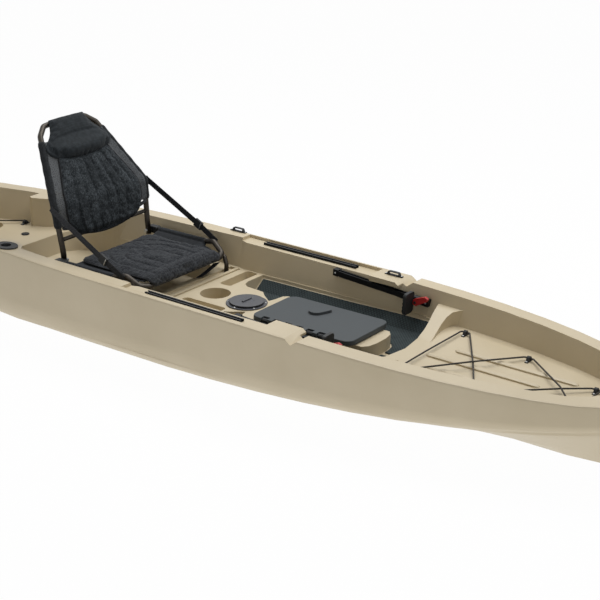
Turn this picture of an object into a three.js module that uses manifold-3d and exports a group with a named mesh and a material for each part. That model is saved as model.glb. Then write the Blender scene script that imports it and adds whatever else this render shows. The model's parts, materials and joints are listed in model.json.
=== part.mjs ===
import * as THREE from 'three';
import { mergeGeometries, mergeVertices } from 'three/addons/utils/BufferGeometryUtils.js';
import Module from 'manifold-3d';

// A sit-on-top fishing kayak. Lengths are in millimetres, +X is the bow, +Y is port, +Z is up,
// and the origin is on the keel under the middle of the hull.

const wasm = await Module();
wasm.setup();

// Clearances shared by all pieces
const gap = 0.3;
const overrun = 30;
const overlap = 1;
const weld = 1e-4;

// The moulded hull, from its lines
const boat = {
  length: 3660,
  beam: 787,
  widestX: 90,
  gunwaleHeight: 330,
  lowSheerX: -436,
  bowSheerDrop: 56.5,
  sternSheerRise: 33,
  bowUpturnX: 1500,
  bowUpturn: 40,
  stemHeight: 90,
  stemHalfWidth: 9,
  wall: 4.2,
  edgeRadius: 9,
  bilgeHeight: 50,
  bilgeBowRise: 175,
  bilgeBowStartX: -100,
  bilgeSternRise: 90,
  bilgeSternStartX: -1100,
  bilgeDip: 12,
  bilgeDipForeX: -500,
  bilgeDipAftX: -900,
  bilgeInset: 55,
  turnInset: 26,
  topsideInset: 10,
  fineHalfWidth: 300,
  keelHalfWidth: 35,
  tunnelHeight: 22,
  tunnelEndX: 350,
  tunnelFadeLength: 650,
  bowRakeX: 1450,
  sternRakeX: -1520,
};

// Exponents and proportions of the hull's lines
const lineShares = {
  bowFullness: 3.667,
  bowTaper: 0.737,
  sternFullness: 3.322,
  sternTaper: 0.782,
  bowRake: 2.4,
  sternRake: 2,
  bilgeBow: 1.9,
  bilgeStern: 2,
  ledgeSweep: 1.2,
  leastBilge: 0.25,
  leastEnd: 0.04,
};

// The open deck inside the gunwales
const deck = {
  height: 215,
  rimWidth: 68,
  cockpitRimWidth: 79,
  wallDraft: 30,
  draftHeight: 120,
  sternX: -1620,
  bowX: 1620,
  endRounding: 130,
  bowAft: 212,
  bowFore: 201,
  bowStartX: 700,
  bowStep: 1,
  rimFade: 30,
};

const seatWell = { aftX: -1035, foreX: -232, halfWidth: 272, floor: 136, corner: 120, draft: 16 };
const tankWell = { aftX: -1500, foreX: -1285, halfWidth: 118, floor: 150, corner: 60 };
const footwell = { aftX: -42, foreX: 795, floor: 165, wallFoot: 203, slopeWidth: 52, wallLean: 4 };
const island = { aftX: -42, foreX: 698, halfWidth: 153, starboardX: 85 };
const cup = { x: -60, y: 12, radius: 58.5, depth: 75 };
const portTray = { aftX: -118, foreX: -64, innerY: 104, outerY: 279, depth: 31, corner: 12 };
const starboardTray = { aftX: -120, foreX: 74, innerY: -84, outerY: -279, depth: 31, corner: 14 };
const groove = { x: -158, width: 11, depth: 7, halfLength: 280 };
const footGroove = { x: -192, width: 26, depth: 9, halfLength: 280 };
const hatchHole = { aftX: 232, foreX: 582, starboardY: -91, portY: 103, corner: 30 };
const recess = { aftX: -176, foreX: 452, depth: 12, lip: 21, reach: 60 };
const block = { aftX: 452, foreX: 578, reach: 112, underside: 301 };
const notch = { x: 592, halfWidth: 27, depth: 20 };
const shelf = { x: -845, halfLength: 92, reach: 106, underside: 120 };
const pillar = { aftX: -1215, foreX: -1052, reach: 136 };
const ledge = { height: 270, aftX: 740, foreX: 864, reach: 300, rise: 58 };
const bowRib = {
  y: 90, halfWidth: 13, height: 9, aftX: 942, foreX: 1408, middleAftX: 882, middleForeX: 1312,
};
const scupper = { radius: 15, seatX: -640, seatY: 190, footX: 420, footY: 205, tankX: -1395, tankY: 70 };

// Turn a closed geometry into a solid that can be joined and cut
function solid(geometry) {
  const bare = geometry.clone();
  bare.deleteAttribute('normal');
  bare.deleteAttribute('uv');
  const merged = mergeVertices(bare, weld);
  const vertProperties = new Float32Array(merged.attributes.position.array);
  const triVerts = new Uint32Array(merged.index.array);
  return new wasm.Manifold(new wasm.Mesh({ numProp: 3, vertProperties, triVerts }));
}

// Turn a solid back into a geometry
function geometryOf(shape) {
  const mesh = shape.getMesh();
  const geometry = new THREE.BufferGeometry();
  geometry.setAttribute('position', new THREE.Float32BufferAttribute(mesh.vertProperties, 3));
  geometry.setIndex(new THREE.Uint32BufferAttribute(mesh.triVerts, 1));
  const flat = geometry.toNonIndexed();
  flat.computeVertexNormals();
  return flat;
}

const mix = (a, b, t) => a + (b - a) * t;
const clamp01 = (t) => Math.min(1, Math.max(0, t));
const ease = (t) => clamp01(t) ** 2 * (3 - 2 * clamp01(t));

// Steps from a to b, both included
function steps(a, b, count) {
  return Array.from({ length: count + 1 }, (_, i) => mix(a, b, i / count));
}

// A closed skin over rings of points: all rings hold the same number of points
function skin(rings, capOutline) {
  const count = rings[0].length;
  const positions = rings.flat().flatMap((p) => [p.x, p.y, p.z]);
  const index = [];
  for (let r = 0; r + 1 < rings.length; r += 1) {
    for (let i = 0; i < count; i += 1) {
      const j = (i + 1) % count;
      const a = r * count + i;
      const b = r * count + j;
      index.push(a, b, a + count, b, b + count, a + count);
    }
  }
  const last = (rings.length - 1) * count;
  for (const [p, q, s] of THREE.ShapeUtils.triangulateShape(capOutline(rings[0]), [])) index.push(q, p, s);
  for (const [p, q, s] of THREE.ShapeUtils.triangulateShape(capOutline(rings.at(-1)), [])) {
    index.push(last + p, last + q, last + s);
  }
  const geometry = new THREE.BufferGeometry();
  geometry.setAttribute('position', new THREE.Float32BufferAttribute(positions, 3));
  geometry.setIndex(index);
  return geometry;
}

// A skin through sections across the hull; each section is a list of [y, z], anticlockwise
function loftAlong(stations, section) {
  const rings = stations.map((x) => section(x).map(([y, z]) => new THREE.Vector3(x, y, z)));
  return solid(skin(rings, (ring) => ring.map((p) => new THREE.Vector2(p.y, p.z))));
}

function shapeOf(points) {
  return new THREE.Shape(points.map(([x, y]) => new THREE.Vector2(x, y)));
}

// An outline in plan, raised from one height to another
function prism(points, low, high) {
  const geometry = new THREE.ExtrudeGeometry(shapeOf(points), { depth: high - low, bevelEnabled: false });
  geometry.translate(0, 0, low);
  return solid(geometry);
}

// A rectangle in plan with round corners
function roundRect(x0, x1, y0, y1, radius, perCorner = 4) {
  const points = [];
  const corners = [
    [x1 - radius, y1 - radius, 0],
    [x0 + radius, y1 - radius, 1],
    [x0 + radius, y0 + radius, 2],
    [x1 - radius, y0 + radius, 3],
  ];
  for (const [cx, cy, quarter] of corners) {
    for (const t of steps(quarter, quarter + 1, perCorner)) {
      const angle = (t * Math.PI) / 2;
      points.push([cx + radius * Math.cos(angle), cy + radius * Math.sin(angle)]);
    }
  }
  return points;
}

function disc(x, y, radius, low, high, sides = 24) {
  const geometry = new THREE.CylinderGeometry(radius, radius, high - low, sides);
  geometry.rotateX(Math.PI / 2);
  geometry.translate(x, y, (low + high) / 2);
  return solid(geometry);
}

function brick(x0, x1, y0, y1, z0, z1) {
  const geometry = new THREE.BoxGeometry(x1 - x0, y1 - y0, z1 - z0);
  geometry.translate((x0 + x1) / 2, (y0 + y1) / 2, (z0 + z1) / 2);
  return solid(geometry);
}

// Half-breadth of the gunwale
function halfBeam(x) {
  const forward = x > boat.widestX;
  const reach = forward ? boat.length / 2 - boat.widestX : boat.length / 2 + boat.widestX;
  const run = Math.min(1, Math.abs(x - boat.widestX) / reach);
  const fullness = forward ? lineShares.bowFullness : lineShares.sternFullness;
  const taper = forward ? lineShares.bowTaper : lineShares.sternTaper;
  return Math.max(boat.stemHalfWidth, (boat.beam / 2) * (1 - run ** fullness) ** taper);
}

// Height of the gunwale's top
function sheer(x) {
  const run = x - boat.lowSheerX;
  const reach = run > 0 ? boat.length / 2 - boat.lowSheerX : boat.length / 2 + boat.lowSheerX;
  const change = run > 0 ? -boat.bowSheerDrop : boat.sternSheerRise;
  const upturn = boat.bowUpturn * clamp01((x - boat.bowUpturnX) / (boat.length / 2 - boat.bowUpturnX)) ** 2;
  return boat.gunwaleHeight + change * (run / reach) ** 2 + upturn;
}

function keelLine(x) {
  const bow = clamp01((x - boat.bowRakeX) / (boat.length / 2 - boat.bowRakeX)) ** lineShares.bowRake;
  const stern = clamp01((boat.sternRakeX - x) / (boat.length / 2 + boat.sternRakeX)) ** lineShares.sternRake;
  return Math.max(bow, stern) * (sheer(x) - boat.stemHeight);
}

function bilgeLine(x) {
  const bow = clamp01((x - boat.bilgeBowStartX) / (boat.length / 2 - boat.bilgeBowStartX));
  const stern = clamp01((boat.bilgeSternStartX - x) / (boat.length / 2 + boat.bilgeSternStartX));
  const rise = boat.bilgeBowRise * bow ** lineShares.bilgeBow;
  const sternRise = boat.bilgeSternRise * stern ** lineShares.bilgeStern;
  const dip = boat.bilgeDip * ease((boat.bilgeDipForeX - x) / (boat.bilgeDipForeX - boat.bilgeDipAftX));
  const floor = mix(keelLine(x), sheer(x), lineShares.leastBilge);
  return Math.max(boat.bilgeHeight + rise + sternRise - dip, keelLine(x) > 0 ? floor : 0);
}

// Bottom of the hull from keel to bilge, as shares of the half-breadth and of the bilge's height
const bottomShares = [
  { out: 0.3, tunnel: 1, rise: 0, fine: 0.33 },
  { out: 0.5, tunnel: 0, rise: 0.05, fine: 0.6 },
  { out: 0.68, tunnel: 0, rise: 0.4, fine: 0.8 },
  { out: 0.8, tunnel: 0, rise: 0.8, fine: 0.94 },
];
// Topside from bilge to gunwale, with the inset of each point and its share of the side's height
const sideShares = [
  { inset: 'turnInset', up: 0.12 },
  { inset: 'topsideInset', up: 0.34 },
];

function hullSection(x, inset) {
  const w = halfBeam(x);
  const top = sheer(x);
  const keel = keelLine(x);
  const bilge = bilgeLine(x);
  const fine = Math.min(1, w / boat.fineHalfWidth);
  const flat = 1 - clamp01((Math.abs(x) - boat.tunnelEndX) / boat.tunnelFadeLength);
  const half = [[mix(boat.stemHalfWidth, boat.keelHalfWidth * fine, flat), keel]];
  for (const s of bottomShares) {
    const tunnel = s.tunnel * boat.tunnelHeight + s.rise * (bilge - keel);
    half.push([s.out * w, keel + mix(s.fine * (bilge - keel), tunnel, flat)]);
  }
  half.push([w - boat.bilgeInset * fine, bilge]);
  for (const s of sideShares) half.push([w - boat[s.inset] * fine, mix(bilge, top, s.up)]);
  const radius = boat.edgeRadius * fine;
  half.push([w, top - radius]);
  half.push([w - 0.3 * radius, top - 0.3 * radius]);
  half.push([w - radius, top]);
  const moved = half.map(([y, z], i) => {
    const raised = i <= bottomShares.length + 1 ? z + inset : z;
    const lowered = i === half.length - 1 ? z - inset : Math.min(raised, top - inset);
    return [Math.max(y - inset, y / 2), lowered];
  });
  return [...moved, ...moved.map(([y, z]) => [-y, z]).reverse()];
}

// Stations are closer together towards the ends
function hullStations(end, count) {
  return steps(-1, 1, count).map((t) => end * Math.sin((t * Math.PI) / 2));
}

function hullBody(inset) {
  const count = inset > 0 ? 14 : 28;
  return loftAlong(hullStations(boat.length / 2 - 4 * inset, count), (x) => hullSection(x, inset));
}

function rimWidth(x) {
  const inCockpit = ease((x - recess.aftX) / deck.rimFade) * ease((notch.x - x) / deck.rimFade);
  return mix(deck.rimWidth, deck.cockpitRimWidth, inCockpit);
}

// Half-width of the open deck at a height, grown outwards by a distance
function innerWall(x, z, grow) {
  const lean = deck.wallDraft * clamp01((sheer(x) - z) / deck.draftHeight);
  return halfBeam(x) - rimWidth(x) - lean + grow;
}

function deckHeight(x) {
  const run = (x - deck.bowStartX) / (deck.bowX - deck.bowStartX);
  return run < 0 ? deck.height : mix(deck.bowAft, deck.bowFore, run);
}

// The open space above the deck and between the gunwales
function openDeck(grow) {
  const start = deck.sternX - grow;
  const end = deck.bowX + grow;
  const rounding = deck.endRounding;
  const section = (x) => {
    const fromEnd = Math.min(x - start, end - x);
    const round = Math.sqrt(Math.max(lineShares.leastEnd, 1 - clamp01(1 - fromEnd / rounding) ** 2));
    const top = sheer(x);
    const foot = innerWall(x, deck.height, grow) * round;
    const mouth = innerWall(x, top, grow) * round;
    const floor = deckHeight(x) - grow;
    return [
      [-foot, floor], [foot, floor], [mouth, top],
      [mouth, top + overrun], [-mouth, top + overrun], [-mouth, top],
    ];
  };
  const endShares = [0, 0.06, 0.2, 0.5];
  const stations = [
    ...endShares.map((t) => start + t * rounding),
    ...steps(start + rounding, recess.aftX, 6),
    ...steps(recess.aftX + deck.rimFade, notch.x - deck.rimFade, 2),
    notch.x,
    deck.bowStartX - deck.bowStep,
    ...steps(deck.bowStartX, end - rounding, 5),
    ...endShares.map((t) => end - t * rounding).reverse(),
  ];
  return loftAlong(stations, section);
}

// Pieces of the moulding that stand inside the open deck
function rodShelf(side, grow) {
  const reach = halfBeam(shelf.x) - shelf.reach + grow;
  const outline = steps(0, Math.PI, 10).map((a) => [
    shelf.x + (shelf.halfLength - grow) * Math.cos(a),
    side * (halfBeam(shelf.x) - (halfBeam(shelf.x) - reach) * Math.sin(a) ** 0.6),
  ]);
  return prism(side > 0 ? outline.reverse() : outline, shelf.underside, sheer(shelf.x) + overrun * 2);
}

const pillarShares = [[0, 0], [0.02, 0.95], [0.14, 1], [0.45, 0.82], [0.8, 0.45], [1, 0]];

function sternPillar(side, grow) {
  const base = halfBeam(pillar.aftX);
  const outline = pillarShares.map(([along, out]) => [
    mix(pillar.aftX + grow, pillar.foreX - grow, along),
    side * (base - out * (pillar.reach - grow)),
  ]);
  return prism(side > 0 ? outline : outline.reverse(), seatWell.floor, sheer(pillar.aftX) + overrun * 2);
}

function trackBlock(side, grow) {
  const base = halfBeam(block.aftX);
  const outline = [
    [block.aftX + grow, base],
    [block.aftX + grow, base - block.reach + grow],
    [block.foreX - grow, base - block.reach + grow],
    [block.foreX - grow, base],
  ].map(([x, y]) => [x, side * y]);
  const plan = side > 0 ? outline : outline.reverse();
  return prism(plan, block.underside + grow, boat.gunwaleHeight + overrun * 2);
}

// Across the hull: distance from the middle, forward reach and height of the foot brace ledge
const ledgeShares = [
  { out: 0.25, fore: 0.79, up: -0.14 },
  { out: 0.37, fore: 0.75, up: 0.02 },
  { out: 0.55, fore: 0.63, up: 0.17 },
  { out: 0.7, fore: 0.56, up: 0.42 },
  { out: 0.82, fore: 0.56, up: 0.7 },
  { out: 0.92, fore: 0.61, up: 0.88 },
  { out: 0.98, fore: 0.76, up: 0.96 },
  { out: 1.06, fore: 1, up: 1 },
];

// Low rib along the bow deck; the middle one is at y = 0
function deckRib(y) {
  const aft = y === 0 ? bowRib.middleAftX : bowRib.aftX;
  const fore = y === 0 ? bowRib.middleForeX : bowRib.foreX;
  const half = bowRib.halfWidth;
  const stations = [[aft, 0], [aft + half, 1], [fore - half, 1], [fore, 0]];
  const rings = stations.map(([x, full]) => {
    const top = deckHeight(x) + bowRib.height * mix(0.3, 1, full);
    const shoulder = top - bowRib.height * 0.4;
    const wide = half * mix(0.5, 1, full);
    return [
      [-wide, footwell.floor], [wide, footwell.floor], [wide, shoulder],
      [wide * 0.5, top], [-wide * 0.5, top], [-wide, shoulder],
    ].map(([across, z]) => new THREE.Vector3(x, y + across, z));
  });
  return solid(skin(rings, (ring) => ring.map((p) => new THREE.Vector2(p.y, p.z))));
}

function footwellFront(y) {
  return mix(footwell.foreX, ledge.aftX, (Math.abs(y) / ledge.reach) ** lineShares.ledgeSweep);
}

// Foot brace ledge at the aft corners of the bow deck, swept along Y on one side
function bowLedge(side, grow) {
  const rings = ledgeShares.map(({ out, fore, up }) => {
    const y = side * out * ledge.reach;
    const aft = footwellFront(y) + grow;
    const front = mix(ledge.aftX, ledge.foreX, fore) - grow;
    const top = ledge.height - (1 - up) * ledge.rise - grow;
    return [[aft, footwell.floor], [aft, top], [front, top], [front, footwell.floor]]
      .map(([x, z]) => new THREE.Vector3(x, y, z));
  });
  if (side < 0) rings.reverse();
  return solid(skin(rings, (ring) => ring.map((p) => new THREE.Vector2(p.z, p.x))));
}

// Outline of the raised console and of the deck aft of it, as shares of its length and half-width
const islandShares = [
  [0, 1.22], [0.012, 1.03], [0.045, 0.92], [0.11, 0.89], [0.158, 0.856],
  [0.189, 0.706], [0.23, 0.55], [0.26, 0.445], [0.27, 0.65], [0.277, 0.9], [0.297, 0.99],
  [0.787, 1], [0.834, 0.96], [0.868, 0.817], [0.897, 0.61], [0.928, 0.595],
  [0.966, 0.575], [0.989, 0.445], [0.999, 0.2],
];

function islandOutline(grow) {
  const length = island.foreX - island.aftX;
  const at = ([along, out], side) => [island.aftX + along * length, side * out * island.halfWidth];
  const port = islandShares.map((s) => at(s, 1));
  const starboardStart = (island.starboardX - island.aftX) / length;
  const starboard = islandShares.filter(([along]) => along > starboardStart).map((s) => at(s, -1));
  const wide = boat.beam;
  const outline = [
    [-wide, -wide],
    [island.starboardX, -wide],
    [island.starboardX, -island.halfWidth * 0.75],
    ...starboard,
    ...port.reverse(),
    [island.aftX, wide],
    [-wide, wide],
  ];
  return growOutline(outline, -grow);
}

// Move an anticlockwise outline outwards by a distance
function growOutline(points, distance) {
  return points.map((p, i) => {
    const before = points[(i + points.length - 1) % points.length];
    const after = points[(i + 1) % points.length];
    const a = new THREE.Vector2(p[0] - before[0], p[1] - before[1]).normalize();
    const b = new THREE.Vector2(after[0] - p[0], after[1] - p[1]).normalize();
    const normal = new THREE.Vector2(a.y + b.y, -a.x - b.x).normalize();
    const stretch = 1 / Math.max(0.6, normal.dot(new THREE.Vector2(a.y, -a.x)));
    return [p[0] + normal.x * distance * stretch, p[1] + normal.y * distance * stretch];
  });
}

function footwellCut(grow) {
  const section = (x) => {
    const foot = innerWall(x, footwell.wallFoot, grow) - footwell.wallLean;
    const top = innerWall(x, deck.height, grow) - gap;
    const flat = foot - footwell.slopeWidth;
    const half = [
      [flat, footwell.floor - grow],
      [foot, footwell.wallFoot - grow],
      [top, deck.height + overrun],
    ];
    return [...half, ...half.map(([y, z]) => [-y, z]).reverse()];
  };
  const stations = steps(footwell.aftX - grow, footwell.foreX + grow, 4);
  const front = steps(-boat.beam / 2, boat.beam / 2, 8).map((y) => [footwellFront(y) + grow, y]);
  const plan = [[footwell.aftX - grow, boat.beam / 2], [footwell.aftX - grow, -boat.beam / 2], ...front];
  const span = prism(plan, 0, boat.gunwaleHeight);
  const keep = prism(islandOutline(grow), 0, boat.gunwaleHeight);
  return loftAlong(stations, section).intersect(span).subtract(keep);
}

function seatWellCut(grow) {
  const outline = (inset) => roundRect(
    seatWell.aftX - grow + inset,
    seatWell.foreX + grow - inset,
    -seatWell.halfWidth - grow + inset,
    seatWell.halfWidth + grow - inset,
    seatWell.corner,
  );
  const top = outline(0).map(([x, y]) => new THREE.Vector3(x, y, deck.height + overrun));
  const rim = outline(0).map(([x, y]) => new THREE.Vector3(x, y, deck.height - grow));
  const low = outline(seatWell.draft).map(([x, y]) => new THREE.Vector3(x, y, seatWell.floor - grow));
  const within = steps(seatWell.aftX - overrun, seatWell.foreX + overrun, 6)
    .map((x) => [x, innerWall(x, deck.height, grow) - gap]);
  const plan = [...within.map(([x, y]) => [x, -y]), ...within.reverse()];
  const well = solid(skin([low, rim, top], (ring) => ring.map((p) => new THREE.Vector2(p.x, p.y))));
  return well.intersect(prism(plan, 0, boat.gunwaleHeight));
}

function tray(t, grow) {
  const [y0, y1] = t.innerY > 0 ? [t.innerY, t.outerY] : [t.outerY, t.innerY];
  const outline = roundRect(t.aftX - grow, t.foreX + grow, y0 - grow, y1 + grow, t.corner + grow, 3);
  return prism(outline, deck.height - t.depth - grow, deck.height + overrun);
}

// Straight floor of the recess that holds the gear track
function recessFloor(x) {
  const along = (x - recess.aftX) / (recess.foreX - recess.aftX);
  return mix(sheer(recess.aftX), sheer(recess.foreX), along) - recess.depth;
}

function trackRecess(side, grow) {
  const section = (x) => {
    const outer = halfBeam(x) - recess.lip + grow;
    const inner = halfBeam(x) - recess.lip - recess.reach - overrun;
    const low = recessFloor(x) - grow;
    const high = sheer(x) + overrun;
    const ys = side > 0 ? [inner, outer] : [-outer, -inner];
    return [[ys[0], low], [ys[1], low], [ys[1], high], [ys[0], high]];
  };
  return loftAlong(steps(recess.aftX - grow, recess.foreX + grow, 6), section);
}

function notchCut(grow) {
  const top = sheer(notch.x);
  const slope = notch.halfWidth / notch.depth;
  const low = notch.depth + grow;
  const high = overrun;
  const outline = [
    [notch.x, top - low],
    [notch.x + slope * (low + high), top + high],
    [notch.x - slope * (low + high), top + high],
  ];
  const geometry = new THREE.ExtrudeGeometry(shapeOf(outline), { depth: boat.beam * 2, bevelEnabled: false });
  geometry.rotateX(Math.PI / 2);
  geometry.translate(0, boat.beam, 0);
  return solid(geometry);
}

function join(shapes) {
  return shapes.reduce((sum, shape) => sum.add(shape));
}

const scupperPlaces = [
  [scupper.seatX, scupper.seatY],
  [scupper.footX, scupper.footY],
  [scupper.tankX, scupper.tankY],
];

// All that is open above the hull's skin, grown by a distance
function hollows(grow) {
  const standing = grow > 0 ? [] : [0, bowRib.y, -bowRib.y].map((y) => deckRib(y));
  for (const side of [1, -1]) {
    standing.push(bowLedge(side, grow), rodShelf(side, grow));
    standing.push(sternPillar(side, grow), trackBlock(side, grow));
  }
  const cuts = [
    openDeck(grow).subtract(join(standing)),
    seatWellCut(grow).subtract(join(standing)),
    footwellCut(grow),
    prism(
      roundRect(tankWell.aftX - grow, tankWell.foreX + grow, -tankWell.halfWidth - grow,
        tankWell.halfWidth + grow, tankWell.corner),
      tankWell.floor - grow,
      deck.height + overrun,
    ),
    disc(cup.x, cup.y, cup.radius + grow, deck.height - cup.depth - grow, deck.height + overrun, 28),
    tray(portTray, grow),
    tray(starboardTray, grow),
    notchCut(grow),
  ];
  for (const g of [groove, footGroove]) {
    const half = g.width / 2 + grow;
    const end = g.halfLength + grow;
    cuts.push(brick(g.x - half, g.x + half, -end, end, deck.height - g.depth - grow, deck.height + overrun));
  }
  for (const side of [1, -1]) {
    cuts.push(trackRecess(side, grow));
    for (const [x, y] of scupperPlaces) {
      cuts.push(disc(x, side * y, scupper.radius + grow, -overrun, deck.height, 10));
    }
  }
  return join(cuts);
}

// The same shape on the other side of the centre plane
function toStarboard(shape) {
  const geometry = geometryOf(shape);
  const p = geometry.attributes.position;
  for (let i = 0; i < p.count; i += 3) {
    const [x, y, z] = [p.getX(i), p.getY(i), p.getZ(i)];
    p.setXYZ(i, p.getX(i + 1), -p.getY(i + 1), p.getZ(i + 1));
    p.setXYZ(i + 1, x, -y, z);
    p.setY(i + 2, -p.getY(i + 2));
  }
  return solid(geometry);
}

// A route through given points with rounded bends
class BentRoute extends THREE.Curve {
  constructor(corners, bend, perBend = 4) {
    super();
    this.points = [corners[0]];
    for (let i = 1; i + 1 < corners.length; i += 1) {
      const [before, at, after] = [corners[i - 1], corners[i], corners[i + 1]];
      const trimBefore = Math.min(bend, before.distanceTo(at) * 0.48);
      const trimAfter = Math.min(bend, after.distanceTo(at) * 0.48);
      const a = at.clone().add(before.clone().sub(at).setLength(trimBefore));
      const b = at.clone().add(after.clone().sub(at).setLength(trimAfter));
      const turn = new THREE.QuadraticBezierCurve3(a, at, b);
      for (const t of steps(0, 1, perBend)) this.points.push(turn.getPoint(t));
    }
    this.points.push(corners.at(-1));
  }

  getPoint(t) {
    const last = this.points.length - 1;
    const at = clamp01(t) * last;
    const i = Math.min(Math.floor(at), last - 1);
    return this.points[i].clone().lerp(this.points[i + 1], at - i);
  }

  getPointAt(t) {
    return this.getPoint(t);
  }

  getTangentAt(t) {
    const last = this.points.length - 1;
    const i = Math.round(t * last);
    const here = this.points[i];
    const tangent = new THREE.Vector3();
    if (i > 0) tangent.add(here.clone().sub(this.points[i - 1]).normalize());
    if (i < last) tangent.add(this.points[i + 1].clone().sub(here).normalize());
    return tangent.normalize();
  }
}

const vector = ([x, y, z]) => new THREE.Vector3(x, y, z);

// A round bar or tube along a route; with a bore it is open at both ends
function tube(corners, radius, bend, sides = 10, perBend = 4, bore = 0) {
  const route = new BentRoute(corners.map(vector), bend, perBend);
  const circle = (r) => Array.from({ length: sides }, (_, i) => {
    const angle = (i / sides) * Math.PI * 2;
    return new THREE.Vector2(r * Math.cos(angle), r * Math.sin(angle));
  });
  const shape = new THREE.Shape(circle(radius));
  if (bore > 0) shape.holes.push(new THREE.Path(circle(bore).filter((_, i) => i % 2 === 0).reverse()));
  const options = { steps: route.points.length - 1, extrudePath: route, curveSegments: 1 };
  return solid(new THREE.ExtrudeGeometry(shape, options));
}

// An outline in the plane across X (y, z), extruded from one x to another
function acrossX(points, x0, x1, holes = []) {
  const shape = shapeOf(points);
  for (const hole of holes) shape.holes.push(new THREE.Path(hole.map(([y, z]) => new THREE.Vector2(y, z))));
  const geometry = new THREE.ExtrudeGeometry(shape, { depth: x1 - x0, bevelEnabled: false });
  const axes = [[0, 1, 0], [0, 0, 1], [1, 0, 0]].map(vector);
  geometry.applyMatrix4(new THREE.Matrix4().makeBasis(...axes));
  geometry.translate(x0, 0, 0);
  return solid(geometry);
}

// An outline in the plane across Y (x, z), extruded from one y to another
function acrossY(points, y0, y1, holes = []) {
  const shape = shapeOf(points);
  for (const hole of holes) shape.holes.push(new THREE.Path(hole.map(([x, z]) => new THREE.Vector2(x, z))));
  const geometry = new THREE.ExtrudeGeometry(shape, { depth: y1 - y0, bevelEnabled: false });
  geometry.rotateX(Math.PI / 2);
  geometry.translate(0, y1, 0);
  return solid(geometry);
}

// A round bar along Y
function barY(x, z, radius, y0, y1, sides = 20) {
  return acrossY(ringPoints(x, z, radius, sides), y0, y1);
}

function ringPoints(a, b, radius, sides) {
  return Array.from({ length: sides }, (_, i) => {
    const angle = ((i + 0.5) / sides) * Math.PI * 2;
    return [a + radius * Math.cos(angle), b + radius * Math.sin(angle)];
  });
}

// Turn about an axis along Y through a point, then move
function turned(shape, angleY, [x, y, z]) {
  const geometry = geometryOf(shape);
  geometry.rotateY(angleY);
  geometry.translate(x, y, z);
  return solid(geometry);
}

function material(color, roughness, metalness = 0) {
  return new THREE.MeshStandardMaterial({ color, roughness, metalness });
}

const finish = {
  hull: material('#cdc0a6', 0.55),
  hardPlastic: material('#54575a', 0.5),
  blackPlastic: material('#232527', 0.45),
  binPlastic: material('#3b3d3f', 0.6),
  foam: material('#2e3438', 0.9),
  rubber: material('#1b1c1d', 0.8),
  tubing: material('#4b4742', 0.4, 0.8),
  track: material('#1f2022', 0.4, 0.7),
  webbing: material('#1d1e20', 0.85),
  padFabric: material('#393b3f', 0.9),
  meshFabric: material('#303438', 0.9),
  headFabric: material('#36393c', 0.85),
  redPlastic: material('#b32424', 0.4),
  steel: material('#b4b6b8', 0.3, 1),
};

const kayak = new THREE.Group();
kayak.name = 'fishing_kayak';

function add(name, shape, look) {
  const mesh = new THREE.Mesh(geometryOf(shape), look.clone());
  mesh.name = name;
  kayak.add(mesh);
}

// The same piece on both sides of the boat; fit trims each one where it meets the hull
function addPair(name, port, look, fit = (shape) => shape) {
  add(`${name}_port`, fit(port), look);
  add(`${name}_starboard`, fit(toStarboard(port)), look);
}

// Hull openings into the space below the deck
const plate = { x: 100, flange: 77.5, hole: 66, collar: 65.4, bore: 59.3, thickness: 4, depth: 18 };
const rodHolder = {
  x: -825, y: 320, rake: Math.PI / 9, flangeX: 52, flangeY: 38, flange: 4.5,
  outer: 22, bore: 20, length: 190, floor: 4, clear: 1,
};
const drain = { x: -1137, y: 70, hole: 11, flange: 17, thickness: 4, stem: 10.6, depth: 14 };

function hatchRing(inset) {
  return roundRect(
    hatchHole.aftX + inset,
    hatchHole.foreX - inset,
    hatchHole.starboardY + inset,
    hatchHole.portY - inset,
    hatchHole.corner - inset,
    3,
  );
}

function slantedDisc(radius, low, high, sides) {
  const top = sheer(rodHolder.x);
  return turned(disc(0, 0, radius, low, high, sides), -rodHolder.rake, [rodHolder.x, rodHolder.y, top]);
}

const rodHole = slantedDisc(rodHolder.outer + rodHolder.clear, -4 * boat.wall, overrun, 20);
const mouths = [
  prism(hatchRing(0), deck.height - 2 * boat.wall, deck.height + overrun),
  disc(plate.x, 0, plate.hole, deck.height - 2 * boat.wall, deck.height + overrun, 28),
  disc(drain.x, drain.y, drain.hole, deck.height - 2 * boat.wall, deck.height + overrun, 16),
  rodHole,
  toStarboard(rodHole),
];
const carry = {
  bowX: 1690, sternX: -1690, lugY: 44, lug: 8, lugRadius: 10, pin: 4, pinClear: 4.4,
  axisHeight: 12, rise: 6, bend: 6, grip: 7, gripHalf: 34, gripInset: 8, reach: 70,
};
const carryPlaces = [['bow', carry.bowX, -1], ['stern', carry.sternX, 1]];
const lugs = carryPlaces.flatMap(([, x]) => [1, -1].map((side) => {
  const axisZ = sheer(x) + carry.axisHeight;
  const [a, b] = [side * carry.lugY, side * (carry.lugY + carry.lug)].sort((p, q) => p - q);
  return barY(x, axisZ, carry.lugRadius, a, b, 10)
    .add(brick(x - carry.lugRadius, x + carry.lugRadius, a, b, axisZ - 2 * carry.axisHeight, axisZ))
    .subtract(barY(x, axisZ, carry.pinClear, -boat.beam, boat.beam, 10));
}));
const inside = hullBody(boat.wall).subtract(hollows(boat.wall));
const shell = hullBody(0).subtract(hollows(0)).add(join(lugs)).subtract(inside);
add('hull', shell.subtract(join(mouths)), finish.hull);

// Space in which pieces that sit against the hull's inner walls and deck must stay
const insideWalls = openDeck(-gap);
const grownHull = hullBody(-gap);
const toDeck = (shape) => shape.intersect(insideWalls);
const toGunwale = (shape) => shape.subtract(grownHull);

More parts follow.
